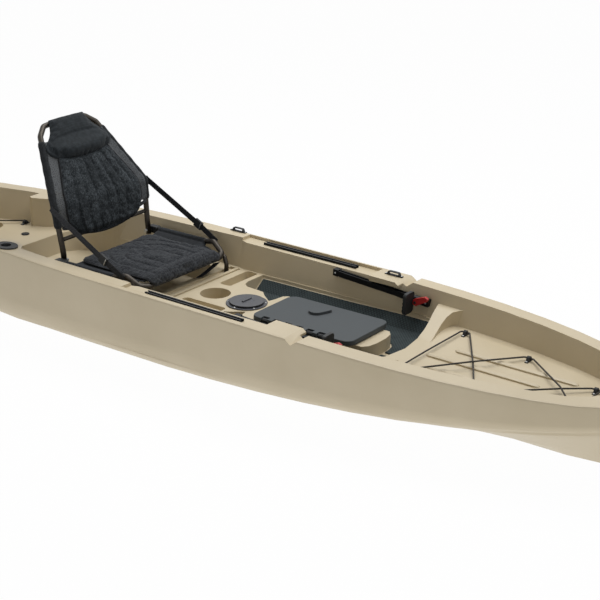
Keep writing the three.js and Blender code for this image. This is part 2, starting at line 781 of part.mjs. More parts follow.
// Hatch: bin, gasket, hinged lid and latch
const hatch = {
  aftX: 215, foreX: 650, halfWidth: 127.5, corner: 34, under: 219, top: 237, pocket: 226, edge: 7, chamfer: 4,
  axisY: -118, axisZ: 226, edgeRadius: 9.5, edgeClear: 2, pin: 3, pinClear: 3.3, pinAftX: 252, pinForeX: 552,
};
const bin = { flange: 8, clear: 1, wall: 3, bottom: 100, thickness: 2 };
const flangeTop = deck.height + gap + bin.thickness;
const binInside = prism(hatchRing(bin.clear + bin.wall), bin.bottom + bin.wall, flangeTop + overrun);
add('hatch_bin', prism(hatchRing(-bin.flange), deck.height + gap, flangeTop)
  .add(prism(hatchRing(bin.clear), bin.bottom, flangeTop))
  .subtract(binInside), finish.binPlastic);

const gasketWidth = 6;
add('hatch_gasket', prism(hatchRing(-bin.flange), flangeTop + gap, hatch.pocket - gap)
  .subtract(prism(hatchRing(gasketWidth - bin.flange), 0, boat.gunwaleHeight)), finish.rubber);

function lidRing(inset, z) {
  const half = hatch.halfWidth - inset;
  const outline = roundRect(hatch.aftX + inset, hatch.foreX - inset, -half, half, hatch.corner - inset);
  return outline.map(([x, y]) => new THREE.Vector3(x, y, z));
}

const knuckle = { first: 279, pitch: 49, count: 6, halfWidth: 12, radius: 8, notch: 14.5, notchY: -107 };
const knuckleX = Array.from({ length: knuckle.count }, (_, i) => knuckle.first + i * knuckle.pitch);
const barX = (y, z, radius, x0, x1, sides = 8) => acrossX(ringPoints(y, z, radius, sides), x0, x1);
const lidEdge = -hatch.halfWidth - hatch.edgeClear;
const lidRoll = barX(
  hatch.axisY, hatch.axisZ, hatch.edgeRadius, hatch.aftX - overrun, hatch.foreX + overrun, 12,
);
const lidCorner = brick(hatch.aftX, hatch.foreX, lidEdge, hatch.axisY, 0, hatch.axisZ).subtract(lidRoll);
const latch = {
  x: 392, y: 34, hub: 27, tipX: 418, tipY: 66, tip: 15, thickness: 9, spindle: 6, clear: 6.4, washer: 13,
};
const lidBody = solid(skin([
  lidRing(0, hatch.under),
  lidRing(0, hatch.top - hatch.chamfer),
  lidRing(hatch.chamfer * 0.4, hatch.top - hatch.chamfer * 0.3),
  lidRing(hatch.chamfer * 1.5, hatch.top),
], (ring) => ring.map((p) => new THREE.Vector2(p.x, p.y))));
const pocket = lidRing(hatch.edge, 0).map((p) => [p.x, p.y]);
const hingeSide = brick(hatch.aftX, hatch.foreX, lidEdge, knuckle.notchY, 0, hatch.top);
const lidCuts = [
  prism(pocket, 0, hatch.pocket).subtract(hingeSide),
  lidCorner,
  barX(hatch.axisY, hatch.axisZ, hatch.pinClear, hatch.pinAftX - overlap, hatch.pinForeX + overlap),
  disc(latch.x, latch.y, latch.clear, 0, boat.gunwaleHeight, 12),
];
for (const x of knuckleX) {
  lidCuts.push(brick(x - knuckle.notch, x + knuckle.notch, lidEdge, knuckle.notchY, 0, boat.gunwaleHeight));
}
add('hatch_lid', lidBody.subtract(join(lidCuts)), finish.hardPlastic);

const hingeStrip = { outerY: -149, innerY: -129.3, thickness: 4, end: 17, arm: 5.5 };
const stripLow = deck.height + gap;
const hingeParts = [brick(
  knuckleX[0] - hingeStrip.end,
  knuckleX.at(-1) + hingeStrip.end,
  hingeStrip.outerY,
  hingeStrip.innerY,
  stripLow,
  stripLow + hingeStrip.thickness,
)];
for (const x of knuckleX) {
  const [low, high] = [x - knuckle.halfWidth, x + knuckle.halfWidth];
  hingeParts.push(brick(low, high, hingeStrip.outerY, hatch.axisY, stripLow, stripLow + hingeStrip.arm));
  hingeParts.push(barX(hatch.axisY, hatch.axisZ, knuckle.radius, low, high));
}
add('hatch_hinge_base', join(hingeParts)
  .subtract(barX(hatch.axisY, hatch.axisZ, hatch.pinClear, 0, boat.length)), finish.blackPlastic);
const hingePin = barX(hatch.axisY, hatch.axisZ, hatch.pin, hatch.pinAftX, hatch.pinForeX, 8);
add('hatch_hinge_pin', hingePin, finish.steel);

// Handle of the latch: a large and a small lobe joined by their common tangents
function lobes(a, b, sides) {
  const heading = Math.atan2(b.y - a.y, b.x - a.x);
  const spread = Math.acos((a.r - b.r) / Math.hypot(b.x - a.x, b.y - a.y));
  const arc = (c, from, to) => steps(from, to, sides)
    .map((t) => [c.x + c.r * Math.cos(t), c.y + c.r * Math.sin(t)]);
  return [
    ...arc(b, heading - spread, heading + spread),
    ...arc(a, heading + spread, heading + 2 * Math.PI - spread),
  ];
}

const latchLow = hatch.top + gap;
const latchHub = { x: latch.x, y: latch.y, r: latch.hub };
const latchTip = { x: latch.tipX, y: latch.tipY, r: latch.tip };
const latchOutline = lobes(latchHub, latchTip, 8);
const spindleLow = hatch.pocket - latch.spindle;
add('hatch_latch', prism(latchOutline, latchLow, latchLow + latch.thickness)
  .add(disc(latch.x, latch.y, latch.spindle, spindleLow, latchLow + overlap, 16))
  .add(disc(latch.x, latch.y, latch.washer, spindleLow, hatch.pocket - gap, 16)), finish.blackPlastic);

// Screw-in deck plate
const plateTop = deck.height + gap + plate.thickness;
add('deck_plate_ring', disc(plate.x, 0, plate.flange, deck.height + gap, plateTop, 28)
  .add(disc(plate.x, 0, plate.collar, deck.height - plate.depth, plateTop, 28))
  .subtract(disc(plate.x, 0, plate.bore, 0, boat.gunwaleHeight, 28)), finish.blackPlastic);
const oring = { radius: 61.5, thickness: 1.35 };
const cover = {
  radius: 65.5, neck: 58.9, wall: 4, thickness: 4.5, neckDepth: 12,
  gripLength: 50, gripWidth: 9, gripHeight: 5,
};
const oringGeometry = new THREE.TorusGeometry(oring.radius, oring.thickness, 5, 26);
oringGeometry.translate(plate.x, 0, plateTop + gap + oring.thickness);
add('deck_plate_oring', solid(oringGeometry), finish.rubber);
const coverLow = plateTop + 2 * gap + 2 * oring.thickness;
const coverTop = coverLow + cover.thickness;
add('deck_plate_cover', disc(plate.x, 0, cover.radius, coverLow, coverTop, 28)
  .add(disc(plate.x, 0, cover.neck, deck.height - cover.neckDepth, coverTop, 28))
  .subtract(disc(plate.x, 0, cover.neck - cover.wall, 0, coverLow, 28))
  .add(brick(
    plate.x - cover.gripWidth / 2,
    plate.x + cover.gripWidth / 2,
    -cover.gripLength / 2,
    cover.gripLength / 2,
    coverLow,
    coverTop + cover.gripHeight,
  )), finish.hardPlastic);

// Foam mats in the footwells, parallel to the moulded floor
const mat = { margin: 7, innerY: 12, thickness: 5 };

function matSection(x, lift) {
  const foot = innerWall(x, footwell.wallFoot, 0) - footwell.wallLean;
  const flat = foot - footwell.slopeWidth;
  const slope = (footwell.wallFoot - footwell.floor) / footwell.slopeWidth;
  const edge = footwell.slopeWidth - mat.margin;
  const low = footwell.floor + lift;
  return [[mat.innerY, low], [flat, low], [flat + edge, low + slope * edge]];
}

const matFront = steps(-boat.beam / 2, boat.beam / 2, 8).map((y) => [footwellFront(y) - mat.margin, y]);
const matPlan = [
  [footwell.aftX + mat.margin, boat.beam / 2],
  [footwell.aftX + mat.margin, -boat.beam / 2],
  ...matFront,
];
function matShape(aftX) {
  return loftAlong(
    steps(footwell.aftX, footwell.foreX, 4),
    (x) => [...matSection(x, 1.5 * gap), ...matSection(x, mat.thickness).reverse()],
  )
    .intersect(prism(matPlan, 0, boat.gunwaleHeight))
    .intersect(brick(aftX, boat.length, 0, boat.beam, 0, boat.gunwaleHeight))
    .subtract(disc(scupper.footX, scupper.footY, scupper.radius + mat.margin, 0, boat.gunwaleHeight, 10));
}
const keepOff = prism(islandOutline(-mat.margin), 0, boat.gunwaleHeight);
const starboardMat = toStarboard(matShape(island.starboardX + mat.margin));
add('foot_mat_port', matShape(footwell.aftX).subtract(keepOff), finish.foam);
add('foot_mat_starboard', starboardMat.subtract(keepOff), finish.foam);

// Gear tracks in the gunwale recesses
const track = {
  aftX: -80, length: 435, y: 345, half: 11, height: 9, slot: 4, lip: 7, floor: 2.4, channel: 8.6,
};
const recessDrop = recessFloor(recess.aftX) - recessFloor(recess.foreX);
const trackSlope = Math.atan(recessDrop / (recess.foreX - recess.aftX));
const trackOutline = [
  [-track.half, 0], [track.half, 0], [track.half, track.height], [track.slot, track.height],
  [track.slot, track.lip], [track.channel, track.lip], [track.channel, track.floor],
  [-track.channel, track.floor], [-track.channel, track.lip], [-track.slot, track.lip],
  [-track.slot, track.height], [-track.half, track.height],
];
const trackPlace = [track.aftX, track.y, recessFloor(track.aftX) + gap];
addPair('gear_track', turned(acrossX(trackOutline, 0, track.length), trackSlope, trackPlace), finish.track);

// Foot brace rails with sliding pedals
const footRail = {
  aftX: 286, aftZ: 297, foreX: 705, foreZ: 265, foot: 22, half: 13, backY: 300.5, wallY: 340,
};
const railRun = footRail.foreX - footRail.aftX;
const railDrop = footRail.aftZ - footRail.foreZ;
const railAngle = Math.atan2(railDrop, railRun);
const railLength = Math.hypot(railRun, railDrop);
const railPlace = [footRail.aftX, 0, footRail.aftZ];
const head = { front: 286, back: 291, half: 10, stem: 5, plate: 296 };
const railProfile = [
  [head.front, -head.half], [head.back, -head.half], [head.back, -head.stem], [head.plate, -head.stem],
  [head.plate, -footRail.half], [footRail.backY, -footRail.half], [footRail.backY, footRail.half],
  [head.plate, footRail.half], [head.plate, head.stem], [head.back, head.stem], [head.back, head.half],
  [head.front, head.half],
];
function railFoot(from) {
  return brick(from, from + footRail.foot, head.front, footRail.wallY, -footRail.half, footRail.half);
}
const railShape = acrossX(railProfile, 0, railLength)
  .add(railFoot(0))
  .add(railFoot(railLength - footRail.foot));
addPair('foot_rail', turned(railShape, railAngle, railPlace), finish.track, toDeck);

const pedal = {
  along: 360, half: 22, clear: 0.5, inner: 278, tall: 15, lipY: 295.4,
  plateY: 222, plateLow: -44, plateHigh: 38, plateBack: -7, plateFront: 5, corner: 12,
  rib: 3, ribPitch: 13.9, ribCount: 5, pinX: 18, pin: 5, pinY: 262,
};
const carriage = [
  [pedal.inner, -pedal.tall], [pedal.lipY, -pedal.tall], [pedal.lipY, -head.stem - pedal.clear],
  [head.back + pedal.clear, -head.stem - pedal.clear], [head.back + pedal.clear, -head.half - pedal.clear],
  [head.front - pedal.clear, -head.half - pedal.clear], [head.front - pedal.clear, head.half + pedal.clear],
  [head.back + pedal.clear, head.half + pedal.clear], [head.back + pedal.clear, head.stem + pedal.clear],
  [pedal.lipY, head.stem + pedal.clear], [pedal.lipY, pedal.tall], [pedal.inner, pedal.tall],
];
const plateOutline = roundRect(
  pedal.plateY, pedal.inner + overlap, pedal.plateLow, pedal.plateHigh, pedal.corner, 3,
);
const pedalParts = [
  acrossX(carriage, -pedal.half, pedal.half),
  acrossX(plateOutline, pedal.plateBack, pedal.plateFront),
  barY(pedal.pinX, 0, pedal.pin, pedal.pinY, pedal.inner + overlap, 14),
];
for (let i = 0; i < pedal.ribCount; i += 1) {
  const z = pedal.plateLow + pedal.corner + i * pedal.ribPitch;
  pedalParts.push(brick(
    pedal.plateBack - pedal.rib,
    pedal.plateBack + overlap,
    pedal.plateY + pedal.rib,
    pedal.inner - pedal.rib,
    z,
    z + 2 * pedal.rib,
  ));
}
const pedalPlace = [
  footRail.aftX + pedal.along * Math.cos(railAngle),
  0,
  footRail.aftZ - pedal.along * Math.sin(railAngle),
];
addPair('foot_pedal', turned(join(pedalParts), railAngle, pedalPlace), finish.blackPlastic);
const lever = { innerY: 264, outerY: 276.5, clear: 5.4, length: 68, height: 32 };
const leverShares = [
  [0.14, -0.25], [0.353, -0.375], [0.647, 0.063], [0.97, 0.5], [1, 0.844],
  [0.824, 1], [0.5, 0.688], [0.265, 0.438], [0.14, 0.281],
];
const leverOutline = leverShares.map(([along, up]) => [along * lever.length, up * lever.height]);
addPair('pedal_lever', turned(
  acrossY(leverOutline, lever.innerY, lever.outerY, [ringPoints(pedal.pinX, 0, lever.clear, 14).reverse()]),
  railAngle,
  pedalPlace,
), finish.redPlastic);

// Flush rod holders behind the seat
const flangeOutline = steps(0, 2 * Math.PI, 28).slice(1).map((angle) => [
  rodHolder.x + rodHolder.flangeX * Math.cos(angle),
  rodHolder.y + rodHolder.flangeY * Math.sin(angle),
]);
const rodTop = sheer(rodHolder.x) + rodHolder.flange;
const rodFlange = toGunwale(prism(flangeOutline, rodTop - 4 * rodHolder.flange, rodTop));
const rodTube = slantedDisc(rodHolder.outer, -rodHolder.length, overrun, 20)
  .subtract(brick(-boat.length, boat.length, 0, boat.beam, rodTop, boat.beam));
const rodBore = slantedDisc(rodHolder.bore, rodHolder.floor - rodHolder.length, 2 * overrun, 20);
addPair('rod_holder', rodFlange.add(rodTube).subtract(rodBore), finish.blackPlastic);

// Small saddle with an eye, standing on a surface at a height; the eye looks along X
const padEye = { half: 21, base: 3, root: 12, eyeHeight: 9.5, outer: 9.5, eye: 5.6, thickness: 12 };

function saddleOutline(s, stretch) {
  const arch = steps(0, Math.PI, 8).map((a) => [
    Math.sign(Math.cos(a).toFixed(3)) * stretch + s.outer * Math.cos(a),
    s.eyeHeight + s.outer * Math.sin(a),
  ]);
  return [
    [-s.half, -s.root], [s.half, -s.root], [s.half, s.base], [s.outer + stretch + s.base, s.base],
    ...arch, [-s.outer - stretch - s.base, s.base], [-s.half, s.base],
  ];
}

function saddleHole(s, stretch) {
  return steps(0, 2 * Math.PI, 16).slice(1).map((a) => [
    Math.sign(Math.cos(a).toFixed(3)) * stretch + s.eye * Math.cos(a),
    s.eyeHeight + s.eye * Math.sin(a),
  ]).reverse();
}

function eyeAt(x, y) {
  const outline = saddleOutline(padEye, 0).map(([a, b]) => [y + a, deckHeight(x) + b]);
  const opening = saddleHole(padEye, 0).map(([a, b]) => [y + a, deckHeight(x) + b]);
  return acrossX(outline, x - padEye.thickness / 2, x + padEye.thickness / 2, [opening]);
}

const bowEyes = { aft: { x: 897, y: 232 }, mid: { x: 1183, y: 168 }, fore: { x: 1478, y: 76 } };
for (const [where, eye] of Object.entries(bowEyes)) {
  addPair(`bow_pad_eye_${where}`, eyeAt(eye.x, eye.y), finish.blackPlastic, toDeck);
}
const sternEyes = { fore: { x: -1240, y: 168 }, aft: { x: -1545, y: 52 } };
for (const [where, eye] of Object.entries(sternEyes)) {
  addPair(`stern_pad_eye_${where}`, eyeAt(eye.x, eye.y), finish.blackPlastic, toDeck);
}

// Elastic cords laced through the eyes
const cord = { radius: 3, reach: 17, bend: 7, low: 13.6, high: 16.6, crossing: 7, ride: 2.1 };
const eyeHeightAt = (x) => deckHeight(x) + padEye.eyeHeight + cord.ride;
const passage = (x, y, from) => [
  [x + from * cord.reach, y, eyeHeightAt(x)],
  [x - from * cord.reach, y, eyeHeightAt(x)],
];
const { aft, mid, fore } = bowEyes;
const crest = (x, lift) => [x, 0, deckHeight(x) + lift];
const crossAft = mix(aft.x, mid.x, aft.y / (aft.y + mid.y));
const crossFore = mix(mid.x, fore.x, mid.y / (mid.y + fore.y));
const bowRoute = [
  [aft.x + cord.reach, -aft.y, eyeHeightAt(aft.x)],
  [aft.x - cord.reach, -aft.y, eyeHeightAt(aft.x)],
  crest(aft.x - cord.reach, cord.low),
  ...passage(aft.x, aft.y, -1),
  crest(crossAft, cord.high),
  ...passage(mid.x, -mid.y, -1),
  crest(crossFore, cord.high),
  ...passage(fore.x, fore.y, -1),
  crest(fore.x + cord.reach, cord.low),
  ...passage(fore.x, -fore.y, 1),
  crest(crossFore, cord.high + cord.crossing),
  ...passage(mid.x, mid.y, 1),
  crest(crossAft, cord.high + cord.crossing),
  [aft.x + 2 * cord.reach, 6 * cord.bend - aft.y, eyeHeightAt(aft.x) + cord.low],
];
add('bow_bungee', tube(bowRoute, cord.radius, cord.bend, 5, 2), finish.webbing);
const { fore: near, aft: far } = sternEyes;
const crossStern = mix(near.x, far.x, near.y / (near.y + far.y));
const sternRoute = [
  [near.x + cord.reach, near.y, eyeHeightAt(near.x)],
  [near.x - cord.reach, near.y, eyeHeightAt(near.x)],
  crest(crossStern, cord.low),
  ...passage(far.x, -far.y, 1),
  ...passage(far.x, far.y, -1),
  crest(crossStern, cord.low + cord.crossing),
  [near.x - cord.reach, -near.y, eyeHeightAt(near.x)],
  [near.x + cord.reach, -near.y, eyeHeightAt(near.x)],
];
add('stern_bungee', tube(sternRoute, cord.radius, cord.bend, 5, 2), finish.webbing);

// Paddle keepers on the port gunwale
const keeper = { half: 38, base: 3, root: 9, eyeHeight: 8, outer: 8, eye: 5, thickness: 13, stretch: 18 };
const keeperPlaces = { aft: { x: -236, y: 373 }, forward: { x: 523, y: 340 } };
for (const [where, place] of Object.entries(keeperPlaces)) {
  const top = sheer(place.x);
  const outline = saddleOutline(keeper, keeper.stretch).map(([a, b]) => [place.x + a, top + b]);
  const opening = saddleHole(keeper, keeper.stretch).map(([a, b]) => [place.x + a, top + b]);
  const [y0, y1] = [place.y - keeper.thickness / 2, place.y + keeper.thickness / 2];
  add(`paddle_keeper_${where}`, toGunwale(acrossY(outline, y0, y1, [opening])), finish.blackPlastic);
}

// Carry handles: a bail swinging in two lugs moulded on the gunwale
for (const [end, x, heading] of carryPlaces) {
  const axisZ = sheer(x) + carry.axisHeight;
  const tip = x + heading * carry.reach;
  add(`${end}_handle`, tube([
    [x, -carry.lugY - carry.lug + overlap, axisZ],
    [x, -carry.gripHalf, axisZ],
    [tip, -carry.gripHalf, axisZ + carry.rise],
    [tip, carry.gripHalf, axisZ + carry.rise],
    [x, carry.gripHalf, axisZ],
    [x, carry.lugY + carry.lug - overlap, axisZ],
  ], carry.pin, carry.bend, 8, 2)
    .add(acrossY(
      ringPoints(tip, axisZ + carry.rise, carry.grip, 10),
      carry.gripInset - carry.gripHalf,
      carry.gripHalf - carry.gripInset,
    )), finish.blackPlastic);
}

// Drain plug in the rear deck
const plugLow = deck.height + gap;
const plugTop = plugLow + drain.thickness;
const plugStem = disc(drain.x, drain.y, drain.stem, deck.height - drain.depth, plugTop - gap, 16);
add('drain_plug', disc(drain.x, drain.y, drain.flange, plugLow, plugTop, 16).add(plugStem), finish.blackPlastic);

// Seat: tube frame, hinged back, pads and straps
const seat = {
  tube: 11, bore: 9, railY: 264, railZ: 299, railAftX: -585.6, bend: 26,
  pivotX: -597, pivotZ: 299, postY: 238.5, crossX: -555, crossZ: 276.4, crossHalf: 300,
};
const loop = {
  railForeX: -330, railForeZ: 300, crestX: -264, crestY: 252, crestZ: 313,
  frontX: -212, frontY: 238, frontZ: 281, noseX: -198, noseY: 203, noseZ: 274,
};
const mirrored = (points) => [...points, ...points.map(([x, y, z]) => [x, -y, z]).reverse()];
const basePoints = mirrored([
  [seat.railAftX, seat.railY, seat.railZ],
  [loop.railForeX, seat.railY, loop.railForeZ],
  [loop.crestX, loop.crestY, loop.crestZ],
  [loop.frontX, loop.frontY, loop.frontZ],
  [loop.noseX, loop.noseY, loop.noseZ],
]);
add('seat_base_frame', tube(basePoints, seat.tube, seat.bend, 8, 2, seat.bore), finish.tubing);
const leg = {
  topX: -248, topY: 249, topZ: 305, kneeX: -204, kneeY: 244, kneeZ: 262,
  x: -192, y: 240, ankle: 240, toe: 206.4, radius: 9, bend: 12,
};
const legPoints = [
  [leg.topX, leg.topY, leg.topZ],
  [leg.kneeX, leg.kneeY, leg.kneeZ],
  [leg.x, leg.y, leg.ankle],
  [leg.x, leg.y, leg.toe],
];
addPair('seat_leg', tube(legPoints, leg.radius, leg.bend, 8, 2)
  .subtract(tube(basePoints, seat.tube + gap, seat.bend, 8, 2)), finish.tubing);
const rearBar = barY(seat.crossX, seat.crossZ, seat.tube, -seat.crossHalf, seat.crossHalf, 14);
add('seat_rear_crossbar', rearBar, finish.tubing);

const back = {
  footX: -595, footZ: 284, postX: -601, postZ: 340, bendX: -622, bendY: 251, bendZ: 504,
  neckX: -781, neckY: 152, neckZ: 737, crownX: -803, crownY: 112, crownZ: 765,
  topX: -807, topY: 60, topZ: 769, straightTop: 758, probe: 14,
};
const backPoints = mirrored([
  [back.footX, seat.postY, back.footZ],
  [back.postX, seat.postY, back.postZ],
  [back.bendX, back.bendY, back.bendZ],
  [back.neckX, back.neckY, back.neckZ],
  [back.crownX, back.crownY, back.crownZ],
  [back.topX, back.topY, back.topZ],
]);
const bolt = { shank: 4, hole: 4.4, headFrom: 277.8, headTo: 283, nutFrom: 220.5, nutTo: 227, hex: 7.5 };
const boltHole = barY(seat.pivotX, seat.pivotZ, bolt.hole, -boat.beam, boat.beam, 10);
const backTube = tube(backPoints, seat.tube, seat.bend, 8, 2, seat.bore);
add('seat_back_frame', backTube.subtract(boltHole), finish.tubing);
const backClear = tube(backPoints, seat.tube + gap, seat.bend, 8, 2);
const crossTube = { x: -606, z: 380, radius: 8 };
add('seat_back_crossbar', barY(crossTube.x, crossTube.z, crossTube.radius, -seat.postY, seat.postY, 12)
  .subtract(backClear), finish.tubing);

const bracket = {
  aftX: -612, foreX: -564, innerY: 251, outerY: 277.5, half: 13.5, socketX: -586, socket: 11.3, corner: 5,
};
const bracketOutline = roundRect(
  bracket.aftX, bracket.foreX, seat.railZ - bracket.half, seat.railZ + bracket.half, bracket.corner, 3,
);
addPair('seat_pivot_bracket', acrossY(bracketOutline, bracket.innerY, bracket.outerY)
  .subtract(acrossX(ringPoints(seat.railY, seat.railZ, bracket.socket, 20), bracket.socketX, 0))
  .subtract(boltHole), finish.blackPlastic);
addPair('seat_pivot_bolt', barY(seat.pivotX, seat.pivotZ, bolt.shank, bolt.nutFrom, bolt.headTo, 14)
  .add(barY(seat.pivotX, seat.pivotZ, bolt.hex, bolt.headFrom, bolt.headTo, 6))
  .add(barY(seat.pivotX, seat.pivotZ, bolt.hex, bolt.nutFrom, bolt.nutTo, 6)), finish.steel);

// Open-topped cradles on the inner walls that carry the rear crossbar
const cradle = { half: 38, innerY: 284, low: 256, high: 292 };
addPair('seat_cradle', brick(
  seat.crossX - cradle.half,
  seat.crossX + cradle.half,
  cradle.innerY,
  boat.beam / 2,
  cradle.low,
  cradle.high,
)
  .subtract(barY(seat.crossX, seat.crossZ, seat.tube + gap, 0, boat.beam, 14))
  .subtract(brick(
    seat.crossX - seat.tube - gap,
    seat.crossX + seat.tube + gap,
    0,
    boat.beam,
    seat.crossZ,
    boat.gunwaleHeight,
  )), finish.blackPlastic, toDeck);

// Bottom cushion: sewn channels run fore and aft, with one across near the front
const cushion = {
  aftX: -562, foreX: -178, aftHalf: 206, foreHalf: 196, bottom: 288, edge: 9, crown: 19, channel: 4.5,
  lipX: -190, lipRun: 6, lipLow: 274, noseX: -215, noseRun: 37, noseDrop: 13, least: 2,
};
const channelShares = [0, 0.26, 0.52, 0.78];
const seamWidthShare = 0.045;
const halfAcrossShares = [-1, -0.96, -0.88, -0.78, -0.65, -0.52, -0.39, -0.26, -0.13];
const acrossShares = [...halfAcrossShares, 0, ...halfAcrossShares.map((v) => -v).reverse()];

// How deep the sewn seams draw the padding in, at a share of the half-width
function seam(v, lines) {
  return Math.max(...lines.map((line) => Math.exp(-(((Math.abs(v) - line) / seamWidthShare) ** 2))));
}

// Along the cushion, and how full it is there
const cushionShares = [
  [0, 0.1], [0.0156, 0.55], [0.0469, 0.85], [0.1094, 1], [0.2396, 1], [0.3698, 1], [0.5, 1],
  [0.6302, 1], [0.7474, 1], [0.8125, 0.98], [0.849, 0.75], [0.8854, 0.9], [0.9297, 0.8], [0.9688, 0.62],
  [0.9844, 0.45], [1, 0.15],
];
const cushionRings = cushionShares.map(([along, fullness]) => {
  const x = mix(cushion.aftX, cushion.foreX, along);
  const waist = 1 - 0.03 * Math.sin(along * Math.PI);
  const taper = mix(cushion.aftHalf, cushion.foreHalf, ease(along * 1.15 - 0.15));
  const half = taper * waist * mix(0.9, 1, fullness);
  const low = mix(cushion.bottom, cushion.lipLow, clamp01((x - cushion.lipX) / cushion.lipRun));
  const drop = cushion.noseDrop * clamp01((x - cushion.noseX) / cushion.noseRun);
  const top = (v) => {
    const round = (1 - Math.abs(v) ** 4) * cushion.crown * fullness;
    const drawn = cushion.channel * seam(v, channelShares) * fullness;
    const padded = cushion.bottom + cushion.edge * mix(0.4, 1, fullness) + round - drawn - drop;
    return Math.max(low + cushion.least, padded);
  };
  const lower = [-1, 1].map((v) => new THREE.Vector3(x, v * half, low));
  const upper = acrossShares.map((v) => new THREE.Vector3(x, v * half, top(v))).reverse();
  return [...lower, ...upper];
});
const sewnCushion = solid(skin(cushionRings, (ring) => ring.map((p) => new THREE.Vector2(p.y, p.z))));

const sling = {
  aftX: -556, wingForeX: -358, half: 249.6, web: 3.6, wing: 276, low: 288.2, thickness: 4.3, over: 311,
  bendX: -330, bend: 236, waistX: -262, waist: 226, frontX: -215, front: 200,
};
const slingEdge = [
  [sling.aftX, sling.half],
  [sling.wingForeX, sling.half],
  [sling.bendX, sling.bend],
  [sling.waistX, sling.waist],
  [sling.frontX, sling.front],
];
const slingPlan = [...slingEdge.map(([x, y]) => [x, -y]), ...slingEdge.reverse()];
const slingSides = [1, -1].flatMap((side) => {
  const strip = (a, b, low, high) => {
    const [y0, y1] = [side * a, side * b].sort((p, q) => p - q);
    return brick(sling.aftX, sling.wingForeX, y0, y1, low, high);
  };
  return [
    strip(sling.half - sling.web, sling.half, sling.low, sling.over + sling.thickness),
    strip(sling.half - sling.web, sling.wing, sling.over, sling.over + sling.thickness),
  ];
});
add('seat_pad', sewnCushion
  .add(prism(slingPlan, sling.low, sling.low + sling.thickness))
  .add(join(slingSides)), finish.padFabric);

// Height along the back frame gives its place, its slope and its half-width
const backRoute = new BentRoute(backPoints.map(vector), seat.bend, 2).points.filter((p) => p.y > 0);
function backAt(z) {
  const height = Math.min(z, back.straightTop);
  const i = Math.max(1, backRoute.findIndex((p) => p.z >= height));
  const [a, b] = [backRoute[i - 1], backRoute[i]];
  const at = a.clone().lerp(b, (height - a.z) / (b.z - a.z));
  return at.add(vector([-(z - height) * 0.7, 0, z - height]));
}

function backNormal(z) {
  const d = backAt(z + back.probe).sub(backAt(z - back.probe));
  return new THREE.Vector3(d.z, 0, -d.x).normalize();
}

// A panel or pad in front of the back frame, from rows of its height, width and fullness as shares
function onBack(piece, rowShares, across, base, thickness) {
  const rings = rowShares.map(([up, out, fullness]) => {
    const z = mix(piece.low, piece.top, up);
    const centre = backAt(z).setY(0);
    const normal = backNormal(z);
    const at = (v, off) => centre.clone().addScaledVector(normal, off).setY(v * out * piece.half);
    const front = across.map((v) => at(v, base + thickness(v, fullness)));
    return [...front, at(across.at(-1), base), at(across[0], base)];
  });
  return solid(skin(rings, (ring) => ring.map((p) => new THREE.Vector2(p.x, p.y))));
}

const panel = { low: 418, top: 705, half: 247, base: 11.6, thickness: 2.2 };
const panelShares = [
  [0, 0.9555], [0.1115, 0.9757], [0.216, 0.996], [0.2857, 1], [0.338, 0.9838],
  [0.4948, 0.9028], [0.676, 0.8259], [0.8432, 0.7409], [1, 0.664],
];
const panelEdgeShares = [-1, 1];
const panelClearShares = [-1.04, 1.04];
const backMesh = onBack(panel, panelShares, panelEdgeShares, panel.base, () => panel.thickness);
add('back_panel', backMesh, finish.meshFabric);
const panelClear = onBack(
  panel, panelShares, panelClearShares, panel.base - panel.thickness, () => 2 * panel.thickness + gap,
);
const padBase = panel.base + panel.thickness + gap;
const backPad = { low: 403, top: 646, half: 200, edge: 4, side: 3, crown: 22, channel: 3.5 };
const backPadShares = [
  [0, 0.84, 0.1], [0.0165, 0.9, 0.5], [0.0617, 0.95, 0.85], [0.1523, 0.985, 1], [0.2757, 1, 1],
  [0.3992, 1, 1], [0.5226, 0.97, 1], [0.6461, 0.92, 1], [0.7695, 0.865, 1], [0.8724, 0.815, 0.95],
  [0.9424, 0.785, 0.8], [0.9835, 0.74, 0.45], [1, 0.66, 0.1],
];
const backChannelShares = [0.14, 0.42, 0.7];
add('back_pad', onBack(backPad, backPadShares, acrossShares, padBase, (v, fullness) => {
  const round = backPad.crown * (1 - Math.abs(v) ** 5);
  const drawn = backPad.channel * seam(v, backChannelShares);
  return backPad.edge + fullness * (backPad.side + round - drawn);
}).subtract(panelClear), finish.padFabric);
const headPad = { low: 650, top: 774, half: 167, edge: 3, side: 4, crown: 20 };
const headPadShares = [
  [0, 0.3593, 0.1], [0.0323, 0.5988, 0.5], [0.0887, 0.7665, 0.85], [0.1774, 0.8982, 1], [0.3065, 0.988, 1],
  [0.4355, 1, 1], [0.5242, 0.8982, 1], [0.5968, 0.7066, 1], [0.6935, 0.5749, 1], [0.8065, 0.491, 0.9],
  [0.9032, 0.4491, 0.7], [0.9677, 0.4072, 0.45], [1, 0.3353, 0.1],
];
add('headrest_pad', onBack(headPad, headPadShares, acrossShares, padBase, (v, fullness) => {
  const round = headPad.crown * (1 - Math.abs(v) ** 3);
  return headPad.edge + fullness * (headPad.side + round);
}).subtract(panelClear), finish.headFabric);

// Webbing from the back frame to the front of the rails, with a buckle
const strap = {
  half: 12.5, thickness: 2, endX: -628, endY: 264, endZ: 508, frameX: -616, frameY: 264.5, frameZ: 499,
  railX: -342, railY: 270.4, railZ: 353, frontX: -262, frontY: 267, frontZ: 308,
};
const strapPoints = [
  [strap.endX, strap.endY, strap.endZ],
  [strap.frameX, strap.frameY, strap.frameZ],
  [strap.railX, strap.railY, strap.railZ],
  [strap.frontX, strap.frontY, strap.frontZ],
];

